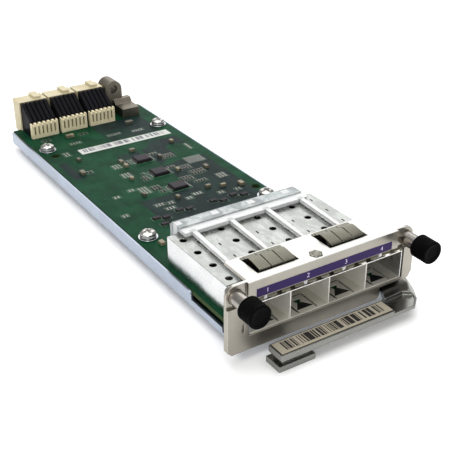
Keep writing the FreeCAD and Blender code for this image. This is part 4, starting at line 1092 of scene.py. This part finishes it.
def ink_finish():
    """Pale violet ink, worn a little darker in places."""
    finish = Finish("numeral ink")
    wear = finish.noise(3.0, 3.0)
    finish.set(Base_Color=wear.ramp(0.3, 0.8).between(paint(0.74, 0.70, 0.88), paint(0.60, 0.55, 0.78)),
               Roughness=0.5 + wear * 0.1)
    return finish


label_front, label_level = corners_of("port_label")[0][1], middle_of("port_label")[2]
points, faces = joined([numeral(str(number), (across, label_front - 0.02, label_level))
                        for number, across in zip(PORTS, NUMERAL_LINES)])
numerals = make_piece("port_numerals", points, faces, "card", "port_film", smooth=False)
ink_finish().on(numerals)
print(len(faces), "numeral faces")

# %% [markdown]
# ## Floor and sky
# The card lies on pale seamless paper under an even white sky. The Standard view keeps the plating's
# greys and the blacks as they are mixed, where a filmic view would wash them out, and a gamma a
# little under one deepens them. The paper glows faintly, which thins the soft shadow under the tray.

# %% Floor and sky
def plain(name, colour, rough):
    """Paper: one colour with a very faint cloud in it."""
    finish = Finish(name)
    faint = finish.noise(0.01, 2.0)
    finish.set(Base_Color=faint.between(paint(*colour), shaded(colour, 0.985)), Roughness=rough)
    return finish


floor_level = card_box[0][2] / MM - 0.05
left, right, near, far = -1500, 2500, -1500, 2800
span = np.array([[left, near, floor_level], [right, near, floor_level],
                 [right, far, floor_level], [left, far, floor_level]])
mesh = bpy.data.meshes.new("floor")
mesh.from_pydata((span * MM).tolist(), [], [[0, 1, 2, 3]])
floor = new_object("floor", mesh)
plain("floor paper", (0.97, 0.97, 0.97), 0.7).set(Emission_Color=WHITE, Emission_Strength=0.12).on(floor)

world = bpy.data.worlds.new("studio")
bpy.context.scene.world = world
world.use_nodes = True
sky = world.node_tree.nodes["Background"].inputs
sky["Color"].default_value = WHITE
sky["Strength"].default_value = 0.5
bpy.context.scene.view_settings.view_transform = "Standard"
bpy.context.scene.view_settings.gamma = 0.88
print("floor at", round(floor_level, 2), "mm")

# %% [markdown]
# ## Three soft lights
# Plating only looks like metal when it has something to mirror, so large square lights are used: one
# overhead for the board and the flange, one behind that draws bright lines on edges, and a low one at
# the left that lights the panel's face. Places are in metres, in the card's own frame.

# %% Lights
def softbox(name, place, aim, size, power):
    """A square area light at place, turned to face aim."""
    light = bpy.data.lights.new(name, "AREA")
    light.shape = "SQUARE"
    light.size = size
    light.energy = power
    made = new_object(name, light)
    reach = np.array(aim) - np.array(place)
    made.location = place
    made.rotation_euler = (math.acos(-reach[2] / np.linalg.norm(reach)), 0,
                           math.atan2(reach[1], reach[0]) - math.pi / 2)
    return made


lights = [softbox("overhead", (0.0, 0.15, 1.4), (0.0, 0.1, 0.0), 1.6, 19.0),
          softbox("behind", (0.76, 1.25, 0.80), (0.0, 0.05, 0.0), 1.1, 5.5),
          softbox("left_front", (-0.55, -0.75, 0.26), (0.0, 0.03, 0.0), 0.5, 3.2)]
print(len(lights), "lights")

# %% [markdown]
# ## The camera
# The camera looks down on the card from in front and from its left, about a quarter of a metre away.
# A long lens keeps the far end of the card from shrinking too much. The tiny shift only centres it.

# %% Camera
LENS = 71.5
SENSOR = 36.0
SHIFT = (0.0004, -0.0033)
CAMERA_PLACE = (-0.1471, -0.1727, 0.1497)
CAMERA_TURN = (90 - 28.46, 0.17, -32.61)

camera_data = bpy.data.cameras.new("camera")
camera_data.lens = LENS
camera_data.sensor_width = SENSOR
camera_data.shift_x, camera_data.shift_y = SHIFT
camera_data.clip_start = 0.01
camera = new_object("camera", camera_data)
camera.location = CAMERA_PLACE
camera.rotation_euler = [math.radians(turn) for turn in CAMERA_TURN]
bpy.context.scene.camera = camera
print("camera", round(float(np.linalg.norm(CAMERA_PLACE)), 3), "m from the origin")
